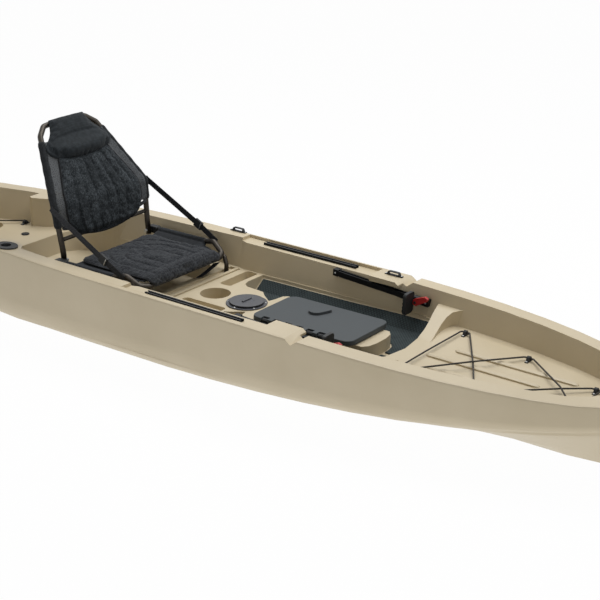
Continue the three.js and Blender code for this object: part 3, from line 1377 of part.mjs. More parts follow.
// A flat band through points, standing on edge along the side of the seat
function bandAlong(points, half, thickness) {
  const [first, last] = [points[0], points.at(-1)];
  const along = new THREE.Vector2(last[0] - first[0], last[2] - first[2]).normalize();
  const up = vector([-along.y, 0, along.x]).multiplyScalar(half);
  const out = vector([0, thickness, 0]);
  const rings = points.map((point) => {
    const at = vector(point);
    return [at.clone().sub(up), at.clone().sub(up).add(out), at.clone().add(up).add(out), at.clone().add(up)];
  });
  return solid(skin(rings, (ring) => ring.map((p) => new THREE.Vector2(p.y, p.z))));
}

addPair('seat_strap', bandAlong(strapPoints, strap.half, strap.thickness), finish.webbing);
const buckle = { half: 17, thickness: 9, inset: 3.5, startShare: 0.88, endShare: 1, slotEndShare: 1.1 };
const [, strapFrom, strapTo] = strapPoints.map(vector);
function onStrap(along, inset) {
  return strapFrom.clone().lerp(strapTo, along).add(vector([0, -inset, 0])).toArray();
}
const buckleEnds = [onStrap(buckle.startShare, buckle.inset), onStrap(buckle.endShare, buckle.inset)];
const slotEnds = [onStrap(0, gap), onStrap(buckle.slotEndShare, gap)];
addPair('strap_buckle', bandAlong(buckleEnds, buckle.half, buckle.thickness)
  .subtract(bandAlong(slotEnds, strap.half + gap, strap.thickness + 2 * gap)), finish.blackPlastic);

export default kayak;
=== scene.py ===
import json
import math

import bpy
from mathutils import Matrix, Vector, geometry, noise


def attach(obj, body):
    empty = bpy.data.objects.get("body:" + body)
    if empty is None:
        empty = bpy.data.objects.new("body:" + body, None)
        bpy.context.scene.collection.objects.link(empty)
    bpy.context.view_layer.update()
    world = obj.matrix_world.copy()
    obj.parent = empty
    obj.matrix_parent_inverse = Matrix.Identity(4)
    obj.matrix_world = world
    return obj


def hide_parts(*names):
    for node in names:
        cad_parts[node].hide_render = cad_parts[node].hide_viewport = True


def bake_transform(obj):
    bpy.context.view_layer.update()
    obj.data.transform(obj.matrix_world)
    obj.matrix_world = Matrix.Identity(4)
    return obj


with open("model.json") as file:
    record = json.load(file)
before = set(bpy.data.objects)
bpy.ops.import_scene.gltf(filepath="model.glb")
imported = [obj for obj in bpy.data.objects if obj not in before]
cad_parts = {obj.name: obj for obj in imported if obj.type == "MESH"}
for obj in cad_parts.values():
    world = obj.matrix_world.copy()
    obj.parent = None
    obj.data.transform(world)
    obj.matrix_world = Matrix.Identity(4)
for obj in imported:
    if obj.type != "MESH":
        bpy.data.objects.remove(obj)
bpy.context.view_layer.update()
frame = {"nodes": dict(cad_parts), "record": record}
row = frame["record"]

# Camera.
# A long lens looks down on the starboard bow quarter from about six metres away.
eye = Vector((3.343, -4.064, 2.204))
turn_left, look_down, tilt = 0.6357, 0.3632, 0.0065
ahead = Vector((
    -math.sin(turn_left) * math.cos(look_down),
    math.cos(turn_left) * math.cos(look_down),
    -math.sin(look_down),
))
level_right = Vector((math.cos(turn_left), math.sin(turn_left), 0))
level_up = level_right.cross(ahead)
right = math.cos(tilt) * level_right + math.sin(tilt) * level_up
up = math.cos(tilt) * level_up - math.sin(tilt) * level_right
lens = bpy.data.cameras.new("camera")
lens.sensor_width = 36
lens.lens = 90.4
camera = bpy.data.objects.new("camera", lens)
bpy.context.scene.collection.objects.link(camera)
camera.matrix_world = Matrix((
    (right.x, up.x, -ahead.x, eye.x),
    (right.y, up.y, -ahead.y, eye.y),
    (right.z, up.z, -ahead.z, eye.z),
    (0, 0, 0, 1),
))
bpy.context.scene.camera = camera
bpy.context.scene.view_settings.view_transform = "Standard"


# Deck cords.
# Two elastic cords, rubber cores in a braided polyester sheath, laced through the pad eyes.
# Each end is crimped in a small ferrule that stops it at its eye.
def linear(colour, alpha=1.0):
    """An sRGB hex colour as the linear values that a shader takes."""
    channels = [int(colour[i:i + 2], 16) / 255 for i in (1, 3, 5)]
    return [c / 12.92 if c <= 0.04045 else ((c + 0.055) / 1.055) ** 2.4 for c in channels] + [alpha]


def add_node(tree, kind, settings={}, links={}):
    """Add a shader node, set its options and inputs, and join its inputs to (node, output) pairs."""
    made = tree.nodes.new("ShaderNode" + kind)
    for key, value in settings.items():
        if isinstance(key, str) and hasattr(made, key):
            setattr(made, key, value)
        else:
            made.inputs[key].default_value = value
    for key, (source, output) in links.items():
        tree.links.new(source.outputs[output], made.inputs[key])
    return made


def new_material(name, **sockets):
    """A material with its tree, its shader and a coordinate node; sockets are the shader's own values."""
    material = bpy.data.materials.new(name)
    material.use_nodes = True
    tree = material.node_tree
    shader = tree.nodes["Principled BSDF"]
    for key, value in sockets.items():
        shader.inputs[key.replace("_", " ").title().replace("Ior", "IOR")].default_value = value
    return material, tree, shader, add_node(tree, "TexCoord")


def paint(tree, shader, factor, low, high, dark, light):
    """Colour a shader by a ramp between two hex colours, from factor low to factor high."""
    ramp = add_node(tree, "ValToRGB", {}, {"Fac": factor})
    ramp.color_ramp.elements[0].position = low
    ramp.color_ramp.elements[0].color = linear(dark)
    ramp.color_ramp.elements[1].position = high
    ramp.color_ramp.elements[1].color = linear(light)
    tree.links.new(ramp.outputs[0], shader.inputs["Base Color"])


def emboss(tree, shader, height, strength, distance):
    """Raise a shader's surface by a pattern, over a distance in metres."""
    bump = add_node(tree, "Bump", {"Strength": strength, "Distance": distance}, {"Height": height})
    tree.links.new(bump.outputs[0], shader.inputs["Normal"])


def per_mm(size):
    """Scale of a pattern on metres whose features are this many millimetres wide."""
    return 1000 / size


# Braided polyester: the strands cross at a slant and catch the light one by one.
braid, tree, shader, place = new_material("braided polyester cord", roughness=0.75)
strand_wave = {"Scale": 1, "Distortion": 0, "bands_direction": "DIAGONAL"}
strands = []
for side in (1, -1):
    slant = add_node(tree, "Mapping", {"Scale": (side * 6.3, per_mm(12), 0)}, {"Vector": (place, "UV")})
    strands.append(add_node(tree, "TexWave", strand_wave, {"Vector": (slant, 0)}))
crossing = add_node(tree, "Math", {"operation": "MAXIMUM"}, {0: (strands[0], 1), 1: (strands[1], 1)})
paint(tree, shader, (crossing, 0), 0.3, 1.0, "#14110e", "#2f2a25")
emboss(tree, shader, (crossing, 0), 0.6, 0.0006)


def rounded_route(corners, radius, parts=6):
    """The points of a line through the corners, each corner rounded."""
    corners = [Vector(c) for c in corners]
    points = [corners[0]]
    for before, corner, after in zip(corners, corners[1:], corners[2:]):
        back, on = before - corner, after - corner
        turn = math.pi - back.angle(on)
        cut = min(radius * math.tan(turn / 2), 0.46 * back.length, 0.46 * on.length)
        start = corner + back.normalized() * cut
        end = corner + on.normalized() * cut
        for i in range(parts + 1):
            t = i / parts
            points.append(start.lerp(corner, t).lerp(corner.lerp(end, t), t))
    points.append(corners[-1])
    return points


def mesh_piece(name, points, faces, smooth=True):
    """A new mesh object at the origin."""
    mesh = bpy.data.meshes.new(name)
    mesh.from_pydata([tuple(p) for p in points], [], faces)
    mesh.update()
    piece = bpy.data.objects.new(name, mesh)
    bpy.context.scene.collection.objects.link(piece)
    for face in mesh.polygons:
        face.use_smooth = smooth
    return piece


def swept_tube(name, route, radius, sides=16):
    """A round tube along a route, closed at both ends, with its UV in turns and in metres along."""
    radii = radius if callable(radius) else lambda t: radius
    angles = [2 * math.pi * k / sides for k in range(sides)]
    lengths = [0.0]
    for a, b in zip(route, route[1:]):
        lengths.append(lengths[-1] + (b - a).length)
    points, rings = [], []
    normal = None
    for i, at in enumerate(route):
        along = (route[min(i + 1, len(route) - 1)] - route[max(i - 1, 0)]).normalized()
        if normal is None:
            normal = along.orthogonal().normalized()
        normal = (normal - along * normal.dot(along)).normalized()
        across = along.cross(normal)
        r = radii(lengths[i] / lengths[-1])
        rings.append([at + r * (math.cos(a) * normal + math.sin(a) * across) for a in angles])
    for ring in rings:
        points += ring
    faces, uvs = [], []
    for i in range(len(rings) - 1):
        for k in range(sides):
            n = (k + 1) % sides
            faces.append((i * sides + k, i * sides + n, (i + 1) * sides + n, (i + 1) * sides + k))
            uvs += [(k / sides, lengths[i]), ((k + 1) / sides, lengths[i]),
                    ((k + 1) / sides, lengths[i + 1]), (k / sides, lengths[i + 1])]
    for i, order in ((0, -1), (len(rings) - 1, 1)):
        faces.append(tuple(i * sides + k for k in range(sides))[::order])
        uvs += [(0.5, lengths[i])] * sides
    piece = mesh_piece(name, points, faces)
    layer = piece.data.uv_layers.new(name="turns and metres")
    for loop, uv in zip(layer.data, uvs):
        loop.uv = uv
    piece.data.polygons[-1].use_smooth = False
    piece.data.polygons[-2].use_smooth = False
    return piece


def joined(pieces, name):
    """Join pieces into the first of them."""
    bpy.ops.object.select_all(action="DESELECT")
    for piece in pieces:
        piece.select_set(True)
    bpy.context.view_layer.objects.active = pieces[0]
    bpy.ops.object.join()
    pieces[0].name = name
    return pieces[0]


def route_length(route):
    return sum((b - a).length for a, b in zip(route, route[1:]))


bodies = {node: body for body, nodes in row["behaviour"]["bodies"].items() for node in nodes}
slots = {part["node"]: part["material_slot"] for part in row["subparts"]}


def fit(piece, material, body, slot, *nodes):
    """Give a piece its material, the body it rides on and the nodes it stands for; the slot is not used."""
    piece.data.materials.clear()
    piece.data.materials.append(material)
    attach(piece, body)
    if nodes:
        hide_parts(*nodes)
    return piece


# Crimped steel blackened in an oxide bath: dark, with a dull sheen.
black_steel, tree, shader, place = new_material("blackened steel", metallic=1.0, roughness=0.45)
specks = add_node(tree, "TexNoise", {"Scale": per_mm(3)}, {"Vector": (place, "Object")})
paint(tree, shader, (specks, 0), 0.3, 0.7, "#1c1d1f", "#34363a")

cord_radius = 0.003
cord_routes = {
    "bow": [
        (0.914, -0.232, 0.2212), (0.88, -0.232, 0.2212), (0.88, 0.0, 0.2234), (0.88, 0.232, 0.2212),
        (0.914, 0.232, 0.2212), (1.0629, 0.0, 0.2243), (1.166, -0.168, 0.2178), (1.2, -0.168, 0.2178),
        (1.3861, 0.0, 0.2204), (1.461, 0.076, 0.2143), (1.495, 0.076, 0.2143), (1.495, 0.0, 0.2161),
        (1.495, -0.076, 0.2143), (1.461, -0.076, 0.2143), (1.3861, 0.0, 0.2274), (1.2, 0.168, 0.2178),
        (1.166, 0.168, 0.2178), (1.0629, 0.0, 0.2313), (0.931, -0.19, 0.2348),
    ],
    "stern": [
        (-1.223, 0.168, 0.2266), (-1.257, 0.168, 0.2266), (-1.4729, 0.0, 0.2286),
        (-1.528, -0.052, 0.2266), (-1.562, -0.052, 0.2266), (-1.562, 0.052, 0.2266),
        (-1.528, 0.052, 0.2266), (-1.4729, 0.0, 0.2356), (-1.257, -0.168, 0.2266),
        (-1.223, -0.168, 0.2266),
    ],
}
cord_bend, crimp_radius, crimp_rim = 0.009, 0.0042, 0.0035
for end, corners in cord_routes.items():
    route = rounded_route(corners, cord_bend)
    cord = swept_tube(f"{end}_deck_cord", route, cord_radius, 12)
    fit(cord, braid, "hull", "cord_elastic", f"{end}_bungee")
    crimps = []
    for spot, inward in ((route[0], route[1]), (route[-1], route[-2])):
        away = (spot - inward).normalized()
        crimp_route = [spot + away * out for out in (-0.010, -0.0085, -0.0005, 0.001)]
        crimps.append(swept_tube(
            "crimp", crimp_route, lambda t: crimp_rim if t in (0, 1) else crimp_radius, 14,
        ))
    ferrules = fit(joined(crimps, f"{end}_cord_ferrules"), black_steel, "hull", "hinge_steel")
    tuple(route[0])
    round(route_length(route), 3)
    [tuple(p) for p in route]


# Hull.
# One hollow polyethylene moulding, turned in an oven until the powder melts on the mould's wall.
# The mould's steel leaves soft edges of 5 mm, a satin face and faint cloudy tones.
def select_only(piece):
    bpy.ops.object.select_all(action="DESELECT")
    piece.hide_set(False)
    piece.select_set(True)
    bpy.context.view_layer.objects.active = piece


def modified(piece, kind, **options):
    """Put a modifier on a piece and apply it."""
    select_only(piece)
    modifier = piece.modifiers.new(kind.lower(), kind)
    for key, value in options.items():
        setattr(modifier, key, value)
    bpy.ops.object.modifier_apply(modifier=modifier.name)


def shade_piece(piece):
    """Smooth shading that keeps wide faces flat and edges over 40 degrees sharp."""
    select_only(piece)
    bpy.ops.object.shade_smooth_by_angle(angle=math.radians(40))
    modified(piece, "WEIGHTED_NORMAL", keep_sharp=True)


def rounded_copy(node, name, edge, segments=2, sharp=35, flat=1.5):
    """A merged copy of a CAD node with its sharp edges rounded over."""
    piece = frame["nodes"][node].copy()
    piece.data = piece.data.copy()
    piece.name = piece.data.name = name
    piece.parent = None
    piece.matrix_world = Matrix.Identity(4)
    bpy.context.scene.collection.objects.link(piece)
    select_only(piece)
    bpy.ops.object.mode_set(mode="EDIT")
    bpy.ops.mesh.select_all(action="SELECT")
    bpy.ops.mesh.remove_doubles(threshold=0.00002)
    bpy.ops.mesh.dissolve_limited(angle_limit=math.radians(flat))
    bpy.ops.object.mode_set(mode="OBJECT")
    if edge:
        modified(
            piece, "BEVEL", width=edge, segments=segments, limit_method="ANGLE",
            angle_limit=math.radians(sharp), use_clamp_overlap=True, miter_outer="MITER_ARC",
        )
    shade_piece(piece)
    return piece


def dress(node, material, edge, **shape):
    """Stand a rounded copy in for a node, on the node's own body."""
    piece = rounded_copy(node, node + "_finished", edge, **shape)
    return fit(piece, material, bodies[node], slots[node], node)


def uneven_gloss(tree, shader, factor, roughness):
    """Let a shader's roughness wander between two values with a pattern."""
    gloss = add_node(tree, "MapRange", {1: 0.3, 2: 0.7, 3: roughness[0], 4: roughness[1]}, {0: factor})
    tree.links.new(gloss.outputs[0], shader.inputs["Roughness"])


def moulded(name, dark, light, cloud, grain, depth, roughness, **sockets):
    """A moulded plastic: cloudy tone, surface grain in millimetres and uneven gloss."""
    material, tree, shader, place = new_material(name, **sockets)
    where = {"Vector": (place, "Object")}
    clouds = add_node(tree, "TexNoise", {"Scale": per_mm(cloud), "Detail": 4}, where)
    paint(tree, shader, (clouds, 0), 0.3, 0.7, dark, light)
    uneven_gloss(tree, shader, (clouds, 0), roughness)
    peel = add_node(tree, "TexNoise", {"Scale": per_mm(grain), "Detail": 2}, where)
    emboss(tree, shader, (peel, 0), 0.5, depth / 1000)
    return material


# Rotomoulded polyethylene: satin, faintly waxy, with an orange-peel skin drawn 9 mm wide to show.
polyethylene = moulded(
    "rotomoulded polyethylene", "#c2b497", "#cbbea3", 260, 9, 0.35, (0.42, 0.52), ior=1.51,
)
hull = rounded_copy("hull", "hull_shell", 0.005, segments=3, sharp=38)
fit(hull, polyethylene, "hull", "hull_plastic", "hull")

# Hatch.
# A textured lid over a moulded bin, hinged on a steel pin along its starboard edge, sealed by a
# rubber ring and held by a quarter-turn latch, with a thin black sheet under it as painted shadow.
textured = moulded(
    "textured polypropylene", "#3f4447", "#494e51", 90, 3.5, 0.18, (0.6, 0.72), specular_ior_level=0.3,
)
bin_plastic = moulded("moulded bin polyethylene", "#343638", "#3e4042", 120, 6, 0.2, (0.45, 0.6), ior=1.51)
rubber = moulded("moulded sealing rubber", "#17181a", "#202124", 40, 3, 0.1, (0.75, 0.9), ior=1.52)
nylon = moulded(
    "glass-filled nylon", "#17191a", "#222426", 60, 2.5, 0.12, (0.5, 0.66), specular_ior_level=0.3,
)


def brushed(name, dark, light, roughness, stretch=(4, 120, 120)):
    """A metal with fine drawn lines along X."""
    material, tree, shader, place = new_material(name, metallic=1.0)
    along = add_node(tree, "Mapping", {"Scale": stretch}, {"Vector": (place, "Object")})
    lines = add_node(tree, "TexNoise", {"Scale": 6, "Detail": 3}, {"Vector": (along, 0)})
    paint(tree, shader, (lines, 0), 0.3, 0.7, dark, light)
    uneven_gloss(tree, shader, (lines, 0), roughness)
    return material


stainless = brushed("brushed stainless steel", "#a9abad", "#c9cbcd", (0.25, 0.4))
dress("hatch_lid", textured, 0.003, segments=3)
dress("hatch_bin", bin_plastic, 0.0012)
dress("hatch_gasket", rubber, 0.001)
dress("hatch_hinge_base", nylon, 0.001, segments=2)
dress("hatch_hinge_pin", stainless, 0.0004)
dress("hatch_latch", textured, 0.0016, segments=3)

# A thin black sheet, a little wider than the latch, is painted shadow: it draws the dark outline where the
# latch's recess is shaded.
latch_shadow_ends = ((0.3925, 0.0351, 0.0305), (0.4178, 0.0657, 0.0183))
latch_shadow_bottom, latch_shadow_top = 0.23712, 0.2382
rim = [
    Vector((x + r * math.cos(a), y + r * math.sin(a)))
    for x, y, r in latch_shadow_ends
    for a in (math.radians(10 * k) for k in range(36))
]
rim = [rim[i] for i in geometry.convex_hull_2d(rim)]
count = len(rim)
latch_shadow_sheet = mesh_piece(
    "hatch_latch_painted_shadow",
    [Vector((p.x, p.y, z)) for z in (latch_shadow_bottom, latch_shadow_top) for p in rim],
    [tuple(range(count))[::-1], tuple(range(count, 2 * count))]
    + [(k, (k + 1) % count, (k + 1) % count + count, k + count) for k in range(count)],
    False,
)
fit(latch_shadow_sheet, rubber, bodies["hatch_latch"], "seal_rubber")

# Deck plate.
# A screw-in inspection cover of nylon in a screwed ring, with an O-ring under its rim and two
# shallow finger wells beside its grip.
plate_nylon = moulded("moulded plate nylon", "#303238", "#3c3e45", 50, 3, 0.12, (0.4, 0.55), ior=1.53)
plate_cover = dress("deck_plate_cover", plate_nylon, 0.0012, segments=3)
plate_middle = 0.1
well_reach, well_height, well_radius, well_tip = 0.0185, 0.2361, 0.0118, 0.009
well_ends = (-0.019, -0.017, 0.017, 0.019)
for side in (1, -1):
    well_x = plate_middle + side * well_reach
    well_route = [Vector((well_x, y, well_height)) for y in well_ends]
    well = swept_tube("finger well", well_route, lambda t: well_radius if 0 < t < 1 else well_tip, 20)
    modified(plate_cover, "BOOLEAN", operation="DIFFERENCE", object=well, solver="EXACT")
    bpy.data.objects.remove(well)
shade_piece(plate_cover)
dress("deck_plate_ring", plate_nylon, 0.001, segments=2)
dress("deck_plate_oring", rubber, 0)

# Footwell mats.
# Two mats of cross-linked EVA foam, cut to the footwells and glued down; their tops are embossed
# with small raised diamonds.
foam, tree, shader, place = new_material("embossed EVA foam", roughness=0.9, specular_ior_level=0.2)
turned = add_node(tree, "Mapping", {"Rotation": (0, 0, math.radians(45))}, {"Vector": (place, "Object")})
# The black mortar paints the grooves between the diamonds darker: painted shade. The wide noise is uneven
# wear.
cells = add_node(tree, "TexBrick", {
    "Scale": per_mm(1), "Mortar Size": 1.4, "Mortar Smooth": 0.6,
    "Brick Width": 9, "Row Height": 9, "offset": 0,
    "Color1": linear("#ffffff"), "Color2": linear("#ffffff"), "Mortar": linear("#000000"),
}, {"Vector": (turned, 0)})
wear = add_node(tree, "TexNoise", {"Scale": per_mm(40), "Detail": 5}, {"Vector": (place, "Object")})
groove_shade_and_wear = add_node(tree, "Math", {"operation": "MULTIPLY_ADD", 1: 0.55}, {0: (cells, "Color"), 2: (wear, 0)})
paint(tree, shader, (groove_shade_and_wear, 0), 0.35, 1.3, "#22282a", "#3c4547")
emboss(tree, shader, (cells, "Color"), 0.8, 0.0008)
for side in ("port", "starboard"):
    dress(f"foot_mat_{side}", foam, 0.0015, segments=2)

# Gear tracks and foot braces.
# Extruded aluminium, anodised black: slotted tracks screwed in the gunwale recesses, and rails
# screwed to the inner walls, on which nylon pedals slide and lock by a red lever.
anodised = brushed("black anodised aluminium", "#17181a", "#26282b", (0.32, 0.48))
red_plastic = moulded("red acetal", "#a81f22", "#bb2a2b", 30, 3, 0.06, (0.28, 0.38), ior=1.48)
for side in ("port", "starboard"):
    dress(f"gear_track_{side}", anodised, 0.0006, segments=2)
    dress(f"foot_rail_{side}", anodised, 0.0008, segments=2)
    dress(f"foot_pedal_{side}", nylon, 0.0014, segments=3)
    dress(f"pedal_lever_{side}", red_plastic, 0.0018, segments=3)

# The rail's lower lip is a rolled edge in a lighter grey than the rail, set back behind the pedal's path.
lighter_grey_lip = brushed("lighter grey lip aluminium", "#4b4d50", "#5e6063", (0.35, 0.5))
rail_aft, rail_slope, rail_lip_top = 0.286, 0.076224, 0.2845
lip_ends = (0.016, 0.404)
lip_section = ((0.2968, 0.0), (0.2968, -0.003), (0.3085, -0.0135), (0.3095, -0.0125), (0.3095, 0.0))


def face_outward(piece):
    """Turn every face of a closed piece outward."""
    select_only(piece)
    bpy.ops.object.mode_set(mode="EDIT")
    bpy.ops.mesh.select_all(action="SELECT")
    bpy.ops.mesh.normals_make_consistent(inside=False)
    bpy.ops.object.mode_set(mode="OBJECT")


for side, sign in (("port", 1), ("starboard", -1)):
    corners = []
    for run in lip_ends:
        x, z = rail_aft + run * math.cos(rail_slope), rail_lip_top - run * math.sin(rail_slope)
        corners += [Vector((x, sign * y, z + rise)) for y, rise in lip_section]
    faces = [(0, 1, 2, 3, 4), (9, 8, 7, 6, 5)]
    faces += [(k, k + 5, (k + 1) % 5 + 5, (k + 1) % 5) for k in range(5)]
    lip = mesh_piece(f"foot_rail_lip_{side}", corners, faces, False)
    face_outward(lip)
    modified(lip, "BEVEL", width=0.0008, segments=2)
    shade_piece(lip)
    fit(lip, lighter_grey_lip, "hull", "track_aluminium")

# Rod holders, eyes and keepers.
# Small injection-moulded nylon fittings, each screwed or riveted down through its flange.
pad_eyes = (
    "bow_pad_eye_aft", "bow_pad_eye_mid", "bow_pad_eye_fore", "stern_pad_eye_fore", "stern_pad_eye_aft",
)
for side in ("port", "starboard"):
    dress(f"rod_holder_{side}", nylon, 0.0012, segments=2)
    for where in pad_eyes:
        dress(f"{where}_{side}", nylon, 0.0012, segments=2)
for where in ("aft", "forward"):
    dress(f"paddle_keeper_{where}", nylon, 0.0012, segments=2)
dress("drain_plug", nylon, 0.001, segments=2)
for end in ("bow", "stern"):
    dress(f"{end}_handle", nylon, 0)

# Seat frame.
# Bent aluminium tube, anodised grey-brown: a base frame that loops up at the front, a hinged back
# frame, two legs and two cross bars, with nylon brackets and steel bolts at the hinges.
tube_metal = brushed("grey-brown anodised tube", "#383531", "#45413c", (0.36, 0.48), stretch=(20, 20, 20))
tube_radius, cross_radius, leg_radius = 0.011, 0.008, 0.009
tube_bend, leg_bend = 0.026, 0.012
base_half = [
    (-0.5856, 0.264, 0.299), (-0.330, 0.264, 0.300), (-0.264, 0.252, 0.313), (-0.212, 0.238, 0.281),
    (-0.198, 0.203, 0.274),
]
back_half = [
    (-0.595, 0.2385, 0.284), (-0.601, 0.2385, 0.340), (-0.622, 0.251, 0.504), (-0.781, 0.152, 0.737),
    (-0.803, 0.112, 0.765), (-0.807, 0.060, 0.769),
]


def both_halves(half):
    return half + [(x, -y, z) for x, y, z in reversed(half)]


base_route = rounded_route(both_halves(base_half), tube_bend)
base = swept_tube("seat_base_tube", base_route, tube_radius, 24)
fit(base, tube_metal, "seat_base", "frame_aluminium", "seat_base_frame")
back_route = rounded_route(both_halves(back_half), tube_bend)
back = swept_tube("seat_back_tube", back_route, tube_radius, 24)
fit(back, tube_metal, "seat_back", "frame_aluminium", "seat_back_frame")
cross_route = [Vector((-0.606, y, 0.380)) for y in (-0.232, 0, 0.232)]
cross = swept_tube("seat_back_cross_tube", cross_route, cross_radius, 20)
fit(cross, tube_metal, "seat_back", "frame_aluminium", "seat_back_crossbar")
rear_route = [Vector((-0.555, y, 0.2764)) for y in (-0.3, 0, 0.3)]
rear_bar = swept_tube("seat_rear_cross_tube", rear_route, tube_radius, 24)
fit(rear_bar, tube_metal, "seat_base", "frame_aluminium", "seat_rear_crossbar")
for side, sign in (("port", 1), ("starboard", -1)):
    leg_route = rounded_route([
        (-0.248, sign * 0.249, 0.305), (-0.204, sign * 0.244, 0.262), (-0.192, sign * 0.240, 0.240),
        (-0.192, sign * 0.240, 0.2064),
    ], leg_bend)
    leg = swept_tube(f"seat_leg_tube_{side}", leg_route, leg_radius, 20)
    fit(leg, tube_metal, "seat_base", "frame_aluminium", f"seat_leg_{side}")
    dress(f"seat_pivot_bracket_{side}", nylon, 0.0012, segments=3)
    dress(f"seat_pivot_bolt_{side}", stainless, 0.0006, segments=2)
    dress(f"seat_cradle_{side}", nylon, 0.0015, segments=3)


# Seat base: sling and cushion.
# A woven polyester sling is laced round the side tubes; a foam cushion covered in the same cloth is
# sewn on it with three nested U seams and one across behind its rolled front edge.
def wave_scale(width):
    """Scale of a wave pattern that repeats about every two threads, each this many millimetres wide."""
    return per_mm(width) / 6.28


def woven(name, dark, light, thread, flecks):
    """A woven cloth: warp and weft in millimetres, with flecks of lighter yarn."""
    material, tree, shader, place = new_material(
        name, roughness=0.85, sheen_weight=0.05, specular_ior_level=0.15,
    )
    threads = []
    for axis in ("X", "Y"):
        wave = {"Scale": wave_scale(thread), "bands_direction": axis, "Distortion": 1.5}
        threads.append(add_node(tree, "TexWave", wave, {"Vector": (place, "Object")}))
    weave = add_node(tree, "Math", {"operation": "MULTIPLY"}, {0: (threads[0], 1), 1: (threads[1], 1)})
    yarn = add_node(tree, "TexNoise", {"Scale": per_mm(flecks), "Detail": 3}, {"Vector": (place, "Object")})
    tone = add_node(tree, "Math", {"operation": "MULTIPLY_ADD", 1: 0.25}, {0: (weave, 0), 2: (yarn, 0)})
    paint(tree, shader, (tone, 0), 0.42, 0.78, dark, light)
    emboss(tree, shader, (tone, 0), 0.5, 0.0005)
    return material


seat_cloth = woven("woven seat polyester", "#24262a", "#424549", 4, 7)
sling_cloth = woven("coated sling polyester", "#26282b", "#33363a", 4, 12)
piping_cloth = woven("folded binding tape", "#17181a", "#26282b", 3, 8)


def grid_faces(rows, columns, flip=False, start=0):
    faces = []
    for i in range(rows - 1):
        for j in range(columns - 1):
            a = start + i * columns + j
            face = (a, a + 1, a + columns + 1, a + columns)
            faces.append(face[::-1] if flip else face)
    return faces


def padded_shell(name, rows, columns, place, front, back):
    """A closed pad: a front and a back surface on one grid, joined round the rim."""
    points = [place(s, v, front(s, v)) for s in rows for v in columns]
    points += [place(s, v, back(s, v)) for s in rows for v in columns]
    r, c = len(rows), len(columns)
    faces = grid_faces(r, c) + grid_faces(r, c, True, r * c)
    rim = list(range(c)) + [i * c + c - 1 for i in range(1, r)]
    rim += [(r - 1) * c + j for j in range(c - 2, -1, -1)] + [i * c for i in range(r - 2, 0, -1)]
    for a, b in zip(rim, rim[1:] + rim[:1]):
        faces.append((b, a, a + r * c, b + r * c))
    piece = mesh_piece(name, points, faces)
    face_outward(piece)
    return piece


stuffing_frames = 20


def stuff(piece, held, pressure, cap):
    """Blow a pad up as cloth, held where held(index) says, and keep each point within cap of its start."""
    start = [v.co.copy() for v in piece.data.vertices]
    group = piece.vertex_groups.new(name="sewn")
    group.add([i for i in range(len(start)) if held(i)], 1.0, "ADD")
    cloth = piece.modifiers.new("stuffing", "CLOTH")
    settings = cloth.settings
    settings.quality = 5
    settings.mass = 0.3
    settings.tension_stiffness = settings.compression_stiffness = 8
    settings.bending_stiffness = 0.4
    settings.vertex_group_mass = "sewn"
    settings.use_pressure = True
    settings.uniform_pressure_force = pressure
    settings.shrink_min = -0.06
    settings.effector_weights.gravity = 0
    cloth.point_cache.frame_start = 1
    cloth.point_cache.frame_end = stuffing_frames
    for number in range(1, stuffing_frames + 1):
        bpy.context.scene.frame_set(number)
    settled = piece.evaluated_get(bpy.context.evaluated_depsgraph_get()).to_mesh()
    ends = [v.co.copy() for v in settled.vertices]
    piece.modifiers.remove(cloth)
    bpy.context.scene.frame_set(1)
    for vertex, a, b in zip(piece.data.vertices, start, ends):
        move = b - a
        vertex.co = a + (move * (cap / move.length) if move.length > cap else move)
    piece.vertex_groups.clear()
    modified(piece, "SUBSURF", levels=1, render_levels=1)


def spread(low, high, count):
    return [low + (high - low) * i / (count - 1) for i in range(count)]


def clamp(t):
    return min(1.0, max(0.0, t))


def ease(t):
    t = clamp(t)
    return t * t * (3 - 2 * t)


cushion_aft, cushion_fore = -0.562, -0.178
u_seams = [(0.155, -0.375), (0.105, -0.360), (0.052, -0.345)]
front_seam = -0.236


def cushion_half(x):
    along = clamp((x - cushion_aft) / (cushion_fore - cushion_aft))
    aft_corner = math.sqrt(1 - (1 - clamp((x - cushion_aft) / 0.055)) ** 2)
    fore_corner = math.sqrt(1 - (1 - clamp((cushion_fore - x) / 0.025)) ** 2)
    bowed = 0.198 + 0.006 * math.sin(along * math.pi)
    return bowed * (1 - 0.24 * (1 - aft_corner) - 0.1 * (1 - fore_corner))


def seam_distance(x, y):
    nearest = abs(x - front_seam)
    if x < front_seam:
        for half, centre in u_seams:
            nearest = min(nearest, abs(math.hypot(min(0.0, x - centre), y) - half))
    return nearest


def cushion_place(x, v, z):
    return Vector((x, v * cushion_half(x), z))


def cushion_drop(x):
    return 0.016 * clamp((x + 0.222) / 0.044) ** 2


def cushion_front(x, v):
    fore_edge = 0.45 + 0.55 * ease((cushion_fore - x) / 0.02)
    rim = (1 - abs(v) ** 6) * ease((x - cushion_aft) / 0.045) * fore_edge
    groove = math.exp(-(seam_distance(x, v * cushion_half(x)) / 0.0065) ** 2)
    lip = 0.005 * math.exp(-((x + 0.208) / 0.014) ** 2)
    return 0.297 + (0.017 + lip) * rim - 0.006 * groove * rim - cushion_drop(x)


def cushion_back(x, v):
    return 0.2935 - cushion_drop(x) * 1.3 - 0.004 * ease((x + 0.2) / 0.02)


cushion_rows = spread(cushion_aft, cushion_fore, 78)
cushion_columns = spread(-1, 1, 81)
cushion = padded_shell(
    "seat_cushion", cushion_rows, cushion_columns, cushion_place, cushion_front, cushion_back,
)
front_count = len(cushion_rows) * len(cushion_columns)


def cushion_held(i):
    if i >= front_count:
        return True
    at = cushion.data.vertices[i].co
    edge = min(at.x - cushion_aft, cushion_half(at.x) - abs(at.y))
    return seam_distance(at.x, at.y) < 0.0028 or edge < 0.004


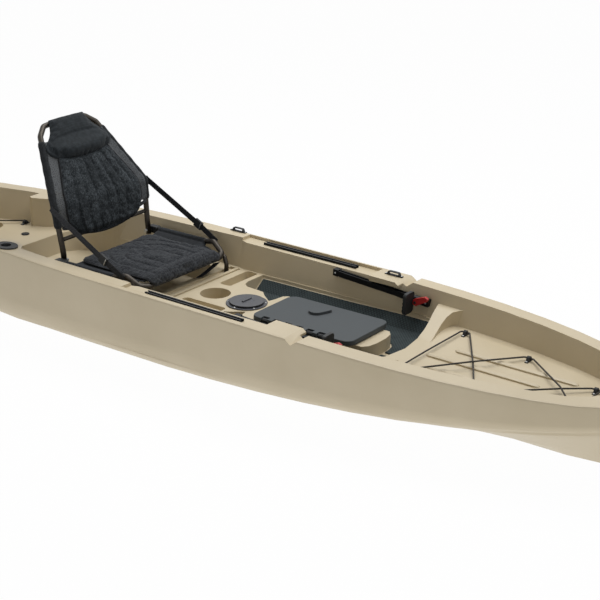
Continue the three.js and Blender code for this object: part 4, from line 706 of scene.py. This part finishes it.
stuff(cushion, cushion_held, pressure=4.0, cap=0.006)
for vertex in cushion.data.vertices:
    pucker = noise.noise(vertex.co * 90) * 0.0007 + noise.noise(vertex.co * 26) * 0.0011
    vertex.co.z += pucker
fit(cushion, seat_cloth, "seat_base", "seat_fabric", "seat_pad")

wrap, sling_level = 0.0128, 0.2895
rail_route = [p for p in base_route if p.y > 0]


def rail_at(x):
    """Centre of the port side tube at a place along it."""
    i = next(k for k in range(1, len(rail_route)) if rail_route[k].x >= x)
    a, b = rail_route[i - 1], rail_route[i]
    return a.lerp(b, (x - a.x) / (b.x - a.x))


def sling_edge(x):
    """Half-width of the sling, and how far it is still wrapped round its rail."""
    wrapped = 1 - ease((x + 0.322) / 0.022)
    plan = [
        (-0.556, 0.2525), (-0.320, 0.2525), (-0.296, 0.238), (-0.262, 0.226), (-0.215, 0.200), (-0.1, 0.2),
    ]
    for (x0, y0), (x1, y1) in zip(plan, plan[1:]):
        if x <= x1:
            return y0 + (y1 - y0) * (x - x0) / (x1 - x0), wrapped
    return plan[-1][1], wrapped


def sling_point(x, t):
    side = 1 if t >= 0 else -1
    half, wrapped = sling_edge(x)
    share = abs(t)
    if share <= 0.8:
        run = share / 0.8
        inner = half - 0.002
        height = sling_level + 0.0105 * wrapped * ease((run - 0.84) / 0.16)
        return Vector((x, side * inner * run, height))
    turn = (share - 0.8) / 0.2
    angle = math.pi * (1.0 - 1.25 * turn)
    rail = rail_at(x)
    on_rail = Vector((x, rail.y + wrap * math.cos(angle), rail.z + wrap * math.sin(angle)))
    hem = Vector((x, half + 0.0005 + 0.002 * math.cos(angle), sling_level + 0.002 * math.sin(angle)))
    at = hem.lerp(on_rail, wrapped)
    at.y *= side
    return at


def sheet_size(point, rows, columns):
    """Width, length and area of the flat cut whose middle surface point(row, column) gives."""
    grid = [[point(r, c) for c in columns] for r in rows]
    width = max(sum((b - a).length for a, b in zip(line, line[1:])) for line in grid)
    length = max(
        sum((after[j] - before[j]).length for before, after in zip(grid, grid[1:]))
        for j in range(len(columns))
    )
    area = 0
    for a, b in zip(grid, grid[1:]):
        for j in range(len(columns) - 1):
            area += (a[j + 1] - a[j]).cross(b[j] - a[j]).length / 2
            area += (b[j + 1] - b[j]).cross(a[j + 1] - b[j + 1]).length / 2
    return width, length, min(area, width * length)


sling_rows = spread(-0.556, -0.215, 60)
sling_columns = spread(-1, 1, 101)
sling = mesh_piece(
    "seat_sling",
    [sling_point(x, t) for x in sling_rows for t in sling_columns],
    grid_faces(len(sling_rows), len(sling_columns)),
)
modified(sling, "SOLIDIFY", thickness=0.0014, offset=0)
fit(sling, sling_cloth, "seat_base", "seat_fabric")
sling_sizes = sheet_size(sling_point, sling_rows, sling_columns)

binding_height, binding_radius = 0.2965, 0.0028
side_rows = cushion_rows[2:-2]
binding_points = [cushion_place(x, 1.0, binding_height - cushion_drop(x)) for x in side_rows]
binding_points += [Vector((cushion_fore - 0.001, y, 0.280)) for y in spread(0.16, -0.16, 12)]
binding_points += [cushion_place(x, -1.0, binding_height - cushion_drop(x)) for x in reversed(side_rows)]
binding_route = rounded_route(binding_points, 0.004, 2)
binding = swept_tube("seat_cushion_binding", binding_route, binding_radius, 10)
fit(binding, piping_cloth, "seat_base", "seat_fabric")

# Seat back.
# Open mesh cloth is stretched between fabric sleeves on the back tubes; a padded back with sewn
# channels and a padded head rest with side wings are stitched on its front.
port_route = [p for p in back_route if p.y > 0]


def back_at(z):
    """Centre of the back tube at a height, carried straight on above the bend."""
    height = min(z, 0.758)
    i = next(k for k in range(1, len(port_route)) if port_route[k].z >= height)
    a, b = port_route[i - 1], port_route[i]
    at = a.lerp(b, (height - a.z) / (b.z - a.z))
    return at + Vector((-(z - height) * 0.7, 0, z - height))


def back_normal(z):
    d = back_at(z + 0.014) - back_at(z - 0.014)
    return Vector((d.z, 0, -d.x)).normalized()


def between(table, z):
    """A value from a table of (height, value) rows."""
    for (z0, v0), (z1, v1) in zip(table, table[1:]):
        if z <= z1:
            return v0 + (v1 - v0) * clamp((z - z0) / (z1 - z0))
    return table[-1][1]


def on_back(half_of):
    def place(z, v, out):
        centre = back_at(z)
        at = Vector((centre.x, 0, centre.z)) + back_normal(z) * out
        at.y = v * half_of(z)
        return at
    return place


# Open warp-knit mesh: small holes let some light through, so the cloth looks a little clear.
mesh_cloth, tree, shader, place = new_material(
    "open warp-knit mesh", roughness=0.8, specular_ior_level=0.2, alpha=0.86,
)
holes = add_node(tree, "TexVoronoi", {"Scale": per_mm(5)}, {"Vector": (place, "Object")})
paint(tree, shader, (holes, 0), 0.15, 0.5, "#2a2d30", "#54575a")
emboss(tree, shader, (holes, 0), 0.4, 0.0006)

panel_halves = [
    (0.418, 0.236), (0.450, 0.241), (0.480, 0.246), (0.500, 0.247), (0.515, 0.243), (0.560, 0.223),
    (0.612, 0.204), (0.660, 0.183), (0.705, 0.164),
]
panel_out, panel_thickness = 0.0116, 0.0022
panel_place = on_back(lambda z: between(panel_halves, z))
panel_rows, panel_columns = spread(0.430, 0.712, 40), spread(-1, 1, 41)
panel = mesh_piece(
    "back_mesh_panel",
    [panel_place(z, v, panel_out) for z in panel_rows for v in panel_columns],
    grid_faces(len(panel_rows), len(panel_columns)),
)
modified(panel, "SOLIDIFY", thickness=panel_thickness, offset=1)
fit(panel, mesh_cloth, "seat_back", "back_mesh", "back_panel")
panel_sizes = sheet_size(lambda z, v: panel_place(z, v, panel_out), panel_rows, panel_columns)

sleeve_cloth = woven("smooth sleeve polyester", "#1b1d1f", "#2a2d30", 3, 10)
for side, sign in (("port", 1), ("starboard", -1)):
    rows = spread(0.428, 0.716, 36)
    sleeve_route = [Vector((p.x, sign * p.y, p.z)) for p in (back_at(z) for z in rows)]
    sleeve = swept_tube(
        f"back_sleeve_{side}", sleeve_route,
        lambda t: 0.0152 + 0.0006 * math.sin(t * 40) - (0.002 if t in (0, 1) else 0), 20,
    )
    fit(sleeve, sleeve_cloth, "seat_back", "back_mesh")

# Knitted jacquard over foam: light flecks in broken upright lines on a near-black ground.
knit, tree, shader, place = new_material("knitted jacquard", roughness=0.85, specular_ior_level=0.15)
upright = add_node(tree, "Mapping", {"Scale": (1, 1, 0.6)}, {"Vector": (place, "Object")})
flecks = add_node(
    tree, "TexNoise", {"Scale": per_mm(5), "Detail": 3, "Roughness": 0.8}, {"Vector": (upright, 0)},
)
blotch = add_node(tree, "TexNoise", {"Scale": per_mm(60), "Detail": 2}, {"Vector": (upright, 0)})
tone = add_node(tree, "Math", {"operation": "MULTIPLY_ADD", 1: 0.35}, {0: (blotch, 0), 2: (flecks, 0)})
paint(tree, shader, (tone, 0), 0.62, 0.88, "#1e2225", "#50565b")
emboss(tree, shader, (flecks, 0), 0.6, 0.0007)

pad_out = panel_out + panel_thickness + 0.0005
back_halves = [
    (0.378, 0.112), (0.382, 0.138), (0.390, 0.160), (0.402, 0.178), (0.420, 0.192), (0.445, 0.201),
    (0.480, 0.205), (0.510, 0.201), (0.540, 0.190), (0.575, 0.172), (0.610, 0.153), (0.635, 0.141),
    (0.652, 0.134),
]
back_low, back_high = back_halves[0][0], back_halves[-1][0]
back_flat = on_back(lambda z: between(back_halves, z))


def back_place(z, v, out):
    """The pad's surface, its lower and upper edges sunk in the middle."""
    drop = 0.012 * (1 - v * v) * (clamp((0.46 - z) / 0.08) + clamp((z - 0.46) / 0.19))
    at = back_flat(z - drop, v, out)
    at.y = v * between(back_halves, z)
    return at


back_seams = (0.0, 0.25, 0.5, 0.75)


def back_rim(z, v):
    return (1 - abs(v) ** 7) * ease((z - back_low) / 0.03) * ease((back_high - z) / 0.02)


def back_front(z, v):
    groove = sum(math.exp(-((abs(v) - s) / 0.028) ** 2) for s in back_seams)
    return pad_out + 0.004 + 0.020 * back_rim(z, v) - 0.006 * groove * back_rim(z, v)


back_rows, back_columns = spread(back_low, back_high, 50), spread(-1, 1, 81)
back_pad = padded_shell(
    "back_rest_pad", back_rows, back_columns, back_place, back_front, lambda z, v: pad_out,
)
back_front_count = len(back_rows) * len(back_columns)


def back_held(i):
    if i >= back_front_count:
        return True
    r, c = divmod(i, len(back_columns))
    v = back_columns[c]
    on_seam = min(abs(abs(v) - s) for s in back_seams) < 0.013
    return on_seam or abs(v) > 0.985 or r in (0, len(back_rows) - 1)


stuff(back_pad, back_held, pressure=4.0, cap=0.006)
for vertex in back_pad.data.vertices:
    pucker = noise.noise(Vector((vertex.co.x * 30, vertex.co.y * 90, vertex.co.z * 45))) * 0.0011
    vertex.co += back_normal(vertex.co.z) * pucker
fit(back_pad, knit, "seat_back", "seat_fabric", "back_pad")

trim_out = pad_out + 0.003
trim_points = [back_place(z, -1.0, trim_out) for z in spread(back_high, back_low + 0.004, 40)]
trim_points += [back_place(back_low, v, trim_out) for v in spread(-0.96, 0.96, 30)]
trim_points += [back_place(z, 1.0, trim_out) for z in spread(back_low + 0.004, back_high, 40)]
trim = swept_tube("back_pad_trim", trim_points, 0.0034, 10)
fit(trim, piping_cloth, "seat_back", "seat_fabric")

head_cloth = woven("smooth head rest polyester", "#1f2326", "#2b3034", 3, 14)
head_halves = [
    (0.648, 0.128), (0.654, 0.148), (0.662, 0.162), (0.674, 0.171), (0.688, 0.171), (0.700, 0.160),
    (0.712, 0.143), (0.724, 0.126), (0.736, 0.113), (0.750, 0.103), (0.762, 0.097), (0.776, 0.092),
]
head_low, head_high = head_halves[0][0], head_halves[-1][0]
head_flat = on_back(lambda z: between(head_halves, z))


def head_place(z, v, out):
    """The head rest's surface, its lower edge sunk in the middle."""
    at = head_flat(z - 0.013 * (1 - v * v) * clamp((0.715 - z) / 0.06), v, out)
    at.y = v * between(head_halves, z)
    return at


def head_front(z, v):
    roll = math.exp(-((z - 0.672) / 0.021) ** 2)
    rim = (1 - abs(v) ** 4) * ease((z - head_low) / 0.014) * (0.5 + 0.5 * ease((head_high - z) / 0.02))
    crease = math.exp(-((z - 0.704 - 0.01 * (1 - v * v)) / 0.005) ** 2)
    return pad_out + 0.004 + rim * (0.012 + 0.021 * roll - 0.005 * crease)


head_rows, head_columns = spread(head_low, head_high, 38), spread(-1, 1, 71)
head = padded_shell("head_rest_pad", head_rows, head_columns, head_place, head_front, lambda z, v: pad_out)
head_front_count = len(head_rows) * len(head_columns)


def head_held(i):
    if i >= head_front_count:
        return True
    r, c = divmod(i, len(head_columns))
    return abs(head_columns[c]) > 0.98 or r in (0, len(head_rows) - 1)


stuff(head, head_held, pressure=3.0, cap=0.006)
for vertex in head.data.vertices:
    vertex.co += back_normal(vertex.co.z) * noise.noise(vertex.co * 30) * 0.0012
fit(head, head_cloth, "seat_back", "head_fabric", "headrest_pad")

# Seat straps.
# Black polypropylene webbing 25 mm wide runs from each sleeve to the front loop of the base, drawn
# tight by a ladder-lock buckle with two steel slider bars.
webbing, tree, shader, place = new_material("polypropylene webbing", roughness=0.75, specular_ior_level=0.25)
rib_wave = {"Scale": wave_scale(3.2), "bands_direction": "Z"}
ribs = add_node(tree, "TexWave", rib_wave, {"Vector": (place, "Object")})
fuzz = add_node(tree, "TexNoise", {"Scale": per_mm(6)}, {"Vector": (place, "Object")})
tone = add_node(tree, "Math", {"operation": "MULTIPLY_ADD", 1: 0.4}, {0: (ribs, 1), 2: (fuzz, 0)})
paint(tree, shader, (tone, 0), 0.4, 0.9, "#141517", "#2c2e32")
emboss(tree, shader, (ribs, 1), 0.5, 0.0006)


def band(name, route, widths, thickness):
    """A flat strap along a route; widths are vectors from its middle to its edge."""
    points = []
    for at, half in zip(route, widths):
        points += [at - half, at - half / 3, at + half / 3, at + half]
    piece = mesh_piece(name, points, grid_faces(len(route), 4))
    modified(piece, "SOLIDIFY", thickness=thickness, offset=0)
    modified(piece, "BEVEL", width=thickness * 0.3, segments=2, limit_method="ANGLE")
    return piece


def finer(route, step):
    """The same route with a point at least every step."""
    points = []
    for a, b in zip(route, route[1:]):
        count = max(1, math.ceil((b - a).length / step))
        points += [a.lerp(b, i / count) for i in range(count)]
    return points + [route[-1]]


strap_width, strap_thickness, strap_bend, strap_step = 0.025, 0.002, 0.03, 0.008
slider_half, slider_radius, buckle_face = 0.0135, 0.0019, 0.0052
for side, sign in (("port", 1), ("starboard", -1)):
    corners = [
        (-0.628, sign * 0.265, 0.508), (-0.616, sign * 0.2655, 0.499), (-0.342, sign * 0.2714, 0.353),
        (-0.262, sign * 0.268, 0.308),
    ]
    route = finer(rounded_route(corners, strap_bend, 4), strap_step)
    widths = []
    for i, at in enumerate(route):
        along = route[min(i + 1, len(route) - 1)] - route[max(i - 1, 0)]
        widths.append(Vector((-along.z, 0, along.x)).normalized() * strap_width / 2)
    strap = band(f"seat_strap_band_{side}", route, widths, strap_thickness)
    strap.data.materials.append(webbing)
    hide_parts(f"seat_strap_{side}")
    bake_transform(strap)
    dress(f"strap_buckle_{side}", nylon, 0.001, segments=2)
    along = (Vector(corners[2]) - Vector(corners[1])).normalized()
    half = Vector((-along.z, 0, along.x)).normalized() * slider_half
    middle = Vector((-0.3583, sign * 0.2711, 0.3618)) + along * 0.012
    bars = []
    for face in (1, -1):
        at = middle + Vector((0, face * buckle_face, 0))
        bar_route = [at - half, at - half * 0.9, at + half * 0.9, at + half]
        bars.append(swept_tube("bar", bar_route, slider_radius, 10))
    fit(joined(bars, f"strap_slider_{side}"), stainless, "seat_base", "hinge_steel")

    inner = back_place(0.414, sign * 0.95, pad_out + 0.003)
    post = back_at(0.427)
    outer = Vector((post.x + 0.012, sign * (post.y - 0.008), post.z))
    tab_route = [inner, inner.lerp(outer, 0.5) + Vector((0.002, 0, 0)), outer]
    tab = band(f"back_pad_tab_{side}", tab_route, [Vector((-0.001, 0, 0.0075))] * 3, 0.0016)
    fit(tab, webbing, "seat_back", "strap_webbing")

# The tail of a tie strap hangs from the front tube, where it is knotted round it.
tie_bend = 0.02
tie_route = rounded_route([
    (-0.190, 0.178, 0.262), (-0.194, 0.166, 0.252), (-0.206, 0.120, 0.229), (-0.214, 0.098, 0.2185),
], tie_bend, 4)
tie_half = Vector((0.0125, 0.004, 0.004))
tie = band("seat_tie_strap", tie_route, [tie_half] * len(tie_route), strap_thickness)
fit(tie, webbing, "seat_base", "strap_webbing")

# Screws.
# Stainless pan-head screws, 7 mm across with a sunk socket, hold the fittings down.
def pan_screw(radius=0.0035, height=0.0018):
    bpy.ops.object.select_all(action="DESELECT")
    middle = (0, 0, height / 2)
    bpy.ops.mesh.primitive_cylinder_add(vertices=12, radius=radius, depth=height, location=middle)
    screw = bpy.context.object
    bpy.ops.object.transform_apply(location=True)
    bpy.ops.object.mode_set(mode="EDIT")
    bpy.ops.mesh.select_all(action="DESELECT")
    bpy.ops.object.mode_set(mode="OBJECT")
    for face in screw.data.polygons:
        face.select = face.normal.z > 0.9
    bpy.ops.object.mode_set(mode="EDIT")
    bpy.ops.mesh.inset(thickness=radius * 0.22, depth=height * 0.18)
    bpy.ops.mesh.inset(thickness=radius * 0.28)
    bpy.ops.mesh.extrude_region_move(TRANSFORM_OT_translate={"value": (0, 0, -height * 0.7)})
    bpy.ops.object.mode_set(mode="OBJECT")
    bpy.ops.object.shade_smooth_by_angle(angle=math.radians(35))
    return screw


def screw_set(name, body, spots):
    """One screw modelled once and copied to each (place, outward direction)."""
    first = pan_screw()
    copies = []
    for at, out in spots:
        one = first.copy()
        one.data = first.data.copy()
        bpy.context.scene.collection.objects.link(one)
        turn = Vector((0, 0, 1)).rotation_difference(Vector(out)).to_matrix().to_4x4()
        one.data.transform(Matrix.Translation(Vector(at)) @ turn)
        copies.append(one)
    bpy.data.objects.remove(first)
    fit(joined(copies, name), stainless, body, "hinge_steel")


upward = (0, 0, 1)
flange = 0.003
eye_places = (
    (0.897, 0.232, 0.2096), (1.183, 0.168, 0.2062), (1.478, 0.076, 0.2027), (-1.240, 0.168, 0.215),
    (-1.545, 0.052, 0.215),
)
eye_reach, keeper_reach = 0.0168, 0.0338
eye_spots = []
for x, y, deck in eye_places:
    for side in (1, -1):
        for reach in (-eye_reach, eye_reach):
            eye_spots.append(((x, side * y + reach, deck + flange), upward))
screw_set("pad_eye_screws", "hull", eye_spots)
keeper_places = ((-0.236, 0.373, 0.3296), (0.523, 0.340, 0.3199))
keeper_spots = [
    ((x + reach, y, top + flange), upward)
    for x, y, top in keeper_places for reach in (-keeper_reach, keeper_reach)
]
screw_set("paddle_keeper_screws", "hull", keeper_spots)
ring_radius, console_flange_top = 0.0712, 0.2193
ring_spots = [
    ((plate_middle + ring_radius * math.cos(a), ring_radius * math.sin(a), console_flange_top), upward)
    for a in (math.radians(30 + 60 * k) for k in range(6))
]
screw_set("deck_plate_screws", "hull", ring_spots)
hinge_aft, hinge_pitch, hinge_line = 0.279, 0.049, -0.143
hinge_spots = [
    ((hinge_aft + hinge_pitch * (k + 0.5), hinge_line, console_flange_top), upward) for k in range(5)
]
screw_set("hatch_hinge_screws", "hull", hinge_spots)
track_aft, track_slope, track_line, track_top = -0.080, 0.012631, 0.345, 0.31664
track_screw, track_pitch, track_seat = 0.018, 0.0798, 0.0024
track_spots = []
for side in (1, -1):
    for k in range(6):
        run = track_screw + track_pitch * k
        x = track_aft + run * math.cos(track_slope)
        z = track_top - run * math.sin(track_slope) + track_seat
        track_spots.append(((x, side * track_line, z), upward))
screw_set("gear_track_screws", "hull", track_spots)
rail_face, rail_middle, rail_ends = 0.286, 0.297, (0.011, 0.4092)
for side, sign in (("port", 1), ("starboard", -1)):
    spots = []
    for run in rail_ends:
        x, z = rail_aft + run * math.cos(rail_slope), rail_middle - run * math.sin(rail_slope)
        spots.append(((x, sign * rail_face, z), (0, -sign, 0)))
    screw_set(f"foot_rail_screws_{side}", "hull", spots)

# Studio.
# A pale floor and an even, faint fill, one large soft lamp overhead and a weak one in front.
floor_paint, tree, shader, place = new_material(
    "pale studio floor", base_color=linear("#f2f2f2"), roughness=0.9,
)
seen = add_node(tree, "LightPath")
glow = add_node(tree, "Emission", {"Color": linear("#ffffff"), "Strength": 1.0})
direct = add_node(tree, "MapRange", {3: 0.9, 4: 0.98}, {0: (seen, "Is Camera Ray")})
mixed = add_node(tree, "MixShader", {}, {0: (direct, 0), 1: (shader, 0), 2: (glow, 0)})
tree.links.new(mixed.outputs[0], tree.nodes["Material Output"].inputs["Surface"])
floor_half = 30
floor_corners = [(x * floor_half, y * floor_half, 0) for x, y in ((-1, -1), (1, -1), (1, 1), (-1, 1))]
floor = mesh_piece("studio_floor", floor_corners, [(0, 1, 2, 3)], False)
floor.data.materials.append(floor_paint)

world = bpy.data.worlds.new("studio")
bpy.context.scene.world = world
world.use_nodes = True
tree = world.node_tree
for old in list(tree.nodes):
    tree.nodes.remove(old)
seen = add_node(tree, "LightPath")
larger = {"operation": "MAXIMUM"}
outside = add_node(tree, "Math", larger, {0: (seen, "Is Camera Ray"), 1: (seen, "Is Glossy Ray")})
outside = add_node(tree, "Math", larger, {0: (outside, 0), 1: (seen, "Is Transmission Ray")})
fill = add_node(tree, "Background", {"Color": linear("#f6f2ea"), "Strength": 0.2})
white = add_node(tree, "Background", {"Color": linear("#ffffff"), "Strength": 1.0})
sky = add_node(tree, "MixShader", {}, {0: (outside, 0), 1: (fill, 0), 2: (white, 0)})
add_node(tree, "OutputWorld", {}, {"Surface": (sky, 0)})


def softbox(name, at, aim, size, power):
    lamp = bpy.data.lights.new(name, "AREA")
    lamp.shape = "RECTANGLE"
    lamp.size, lamp.size_y = size
    lamp.energy = power
    piece = bpy.data.objects.new(name, lamp)
    bpy.context.scene.collection.objects.link(piece)
    piece.location = at
    piece.rotation_euler = (Vector(aim) - Vector(at)).to_track_quat("-Z", "Y").to_euler()


softbox("overhead softbox", (0.2, 1.2, 3.6), (0.1, 0.2, 0), (5.0, 2.2), 146)
softbox("front softbox", (1.5, -4.5, 1.2), (0.1, 0, 0.2), (3.0, 1.2), 13)
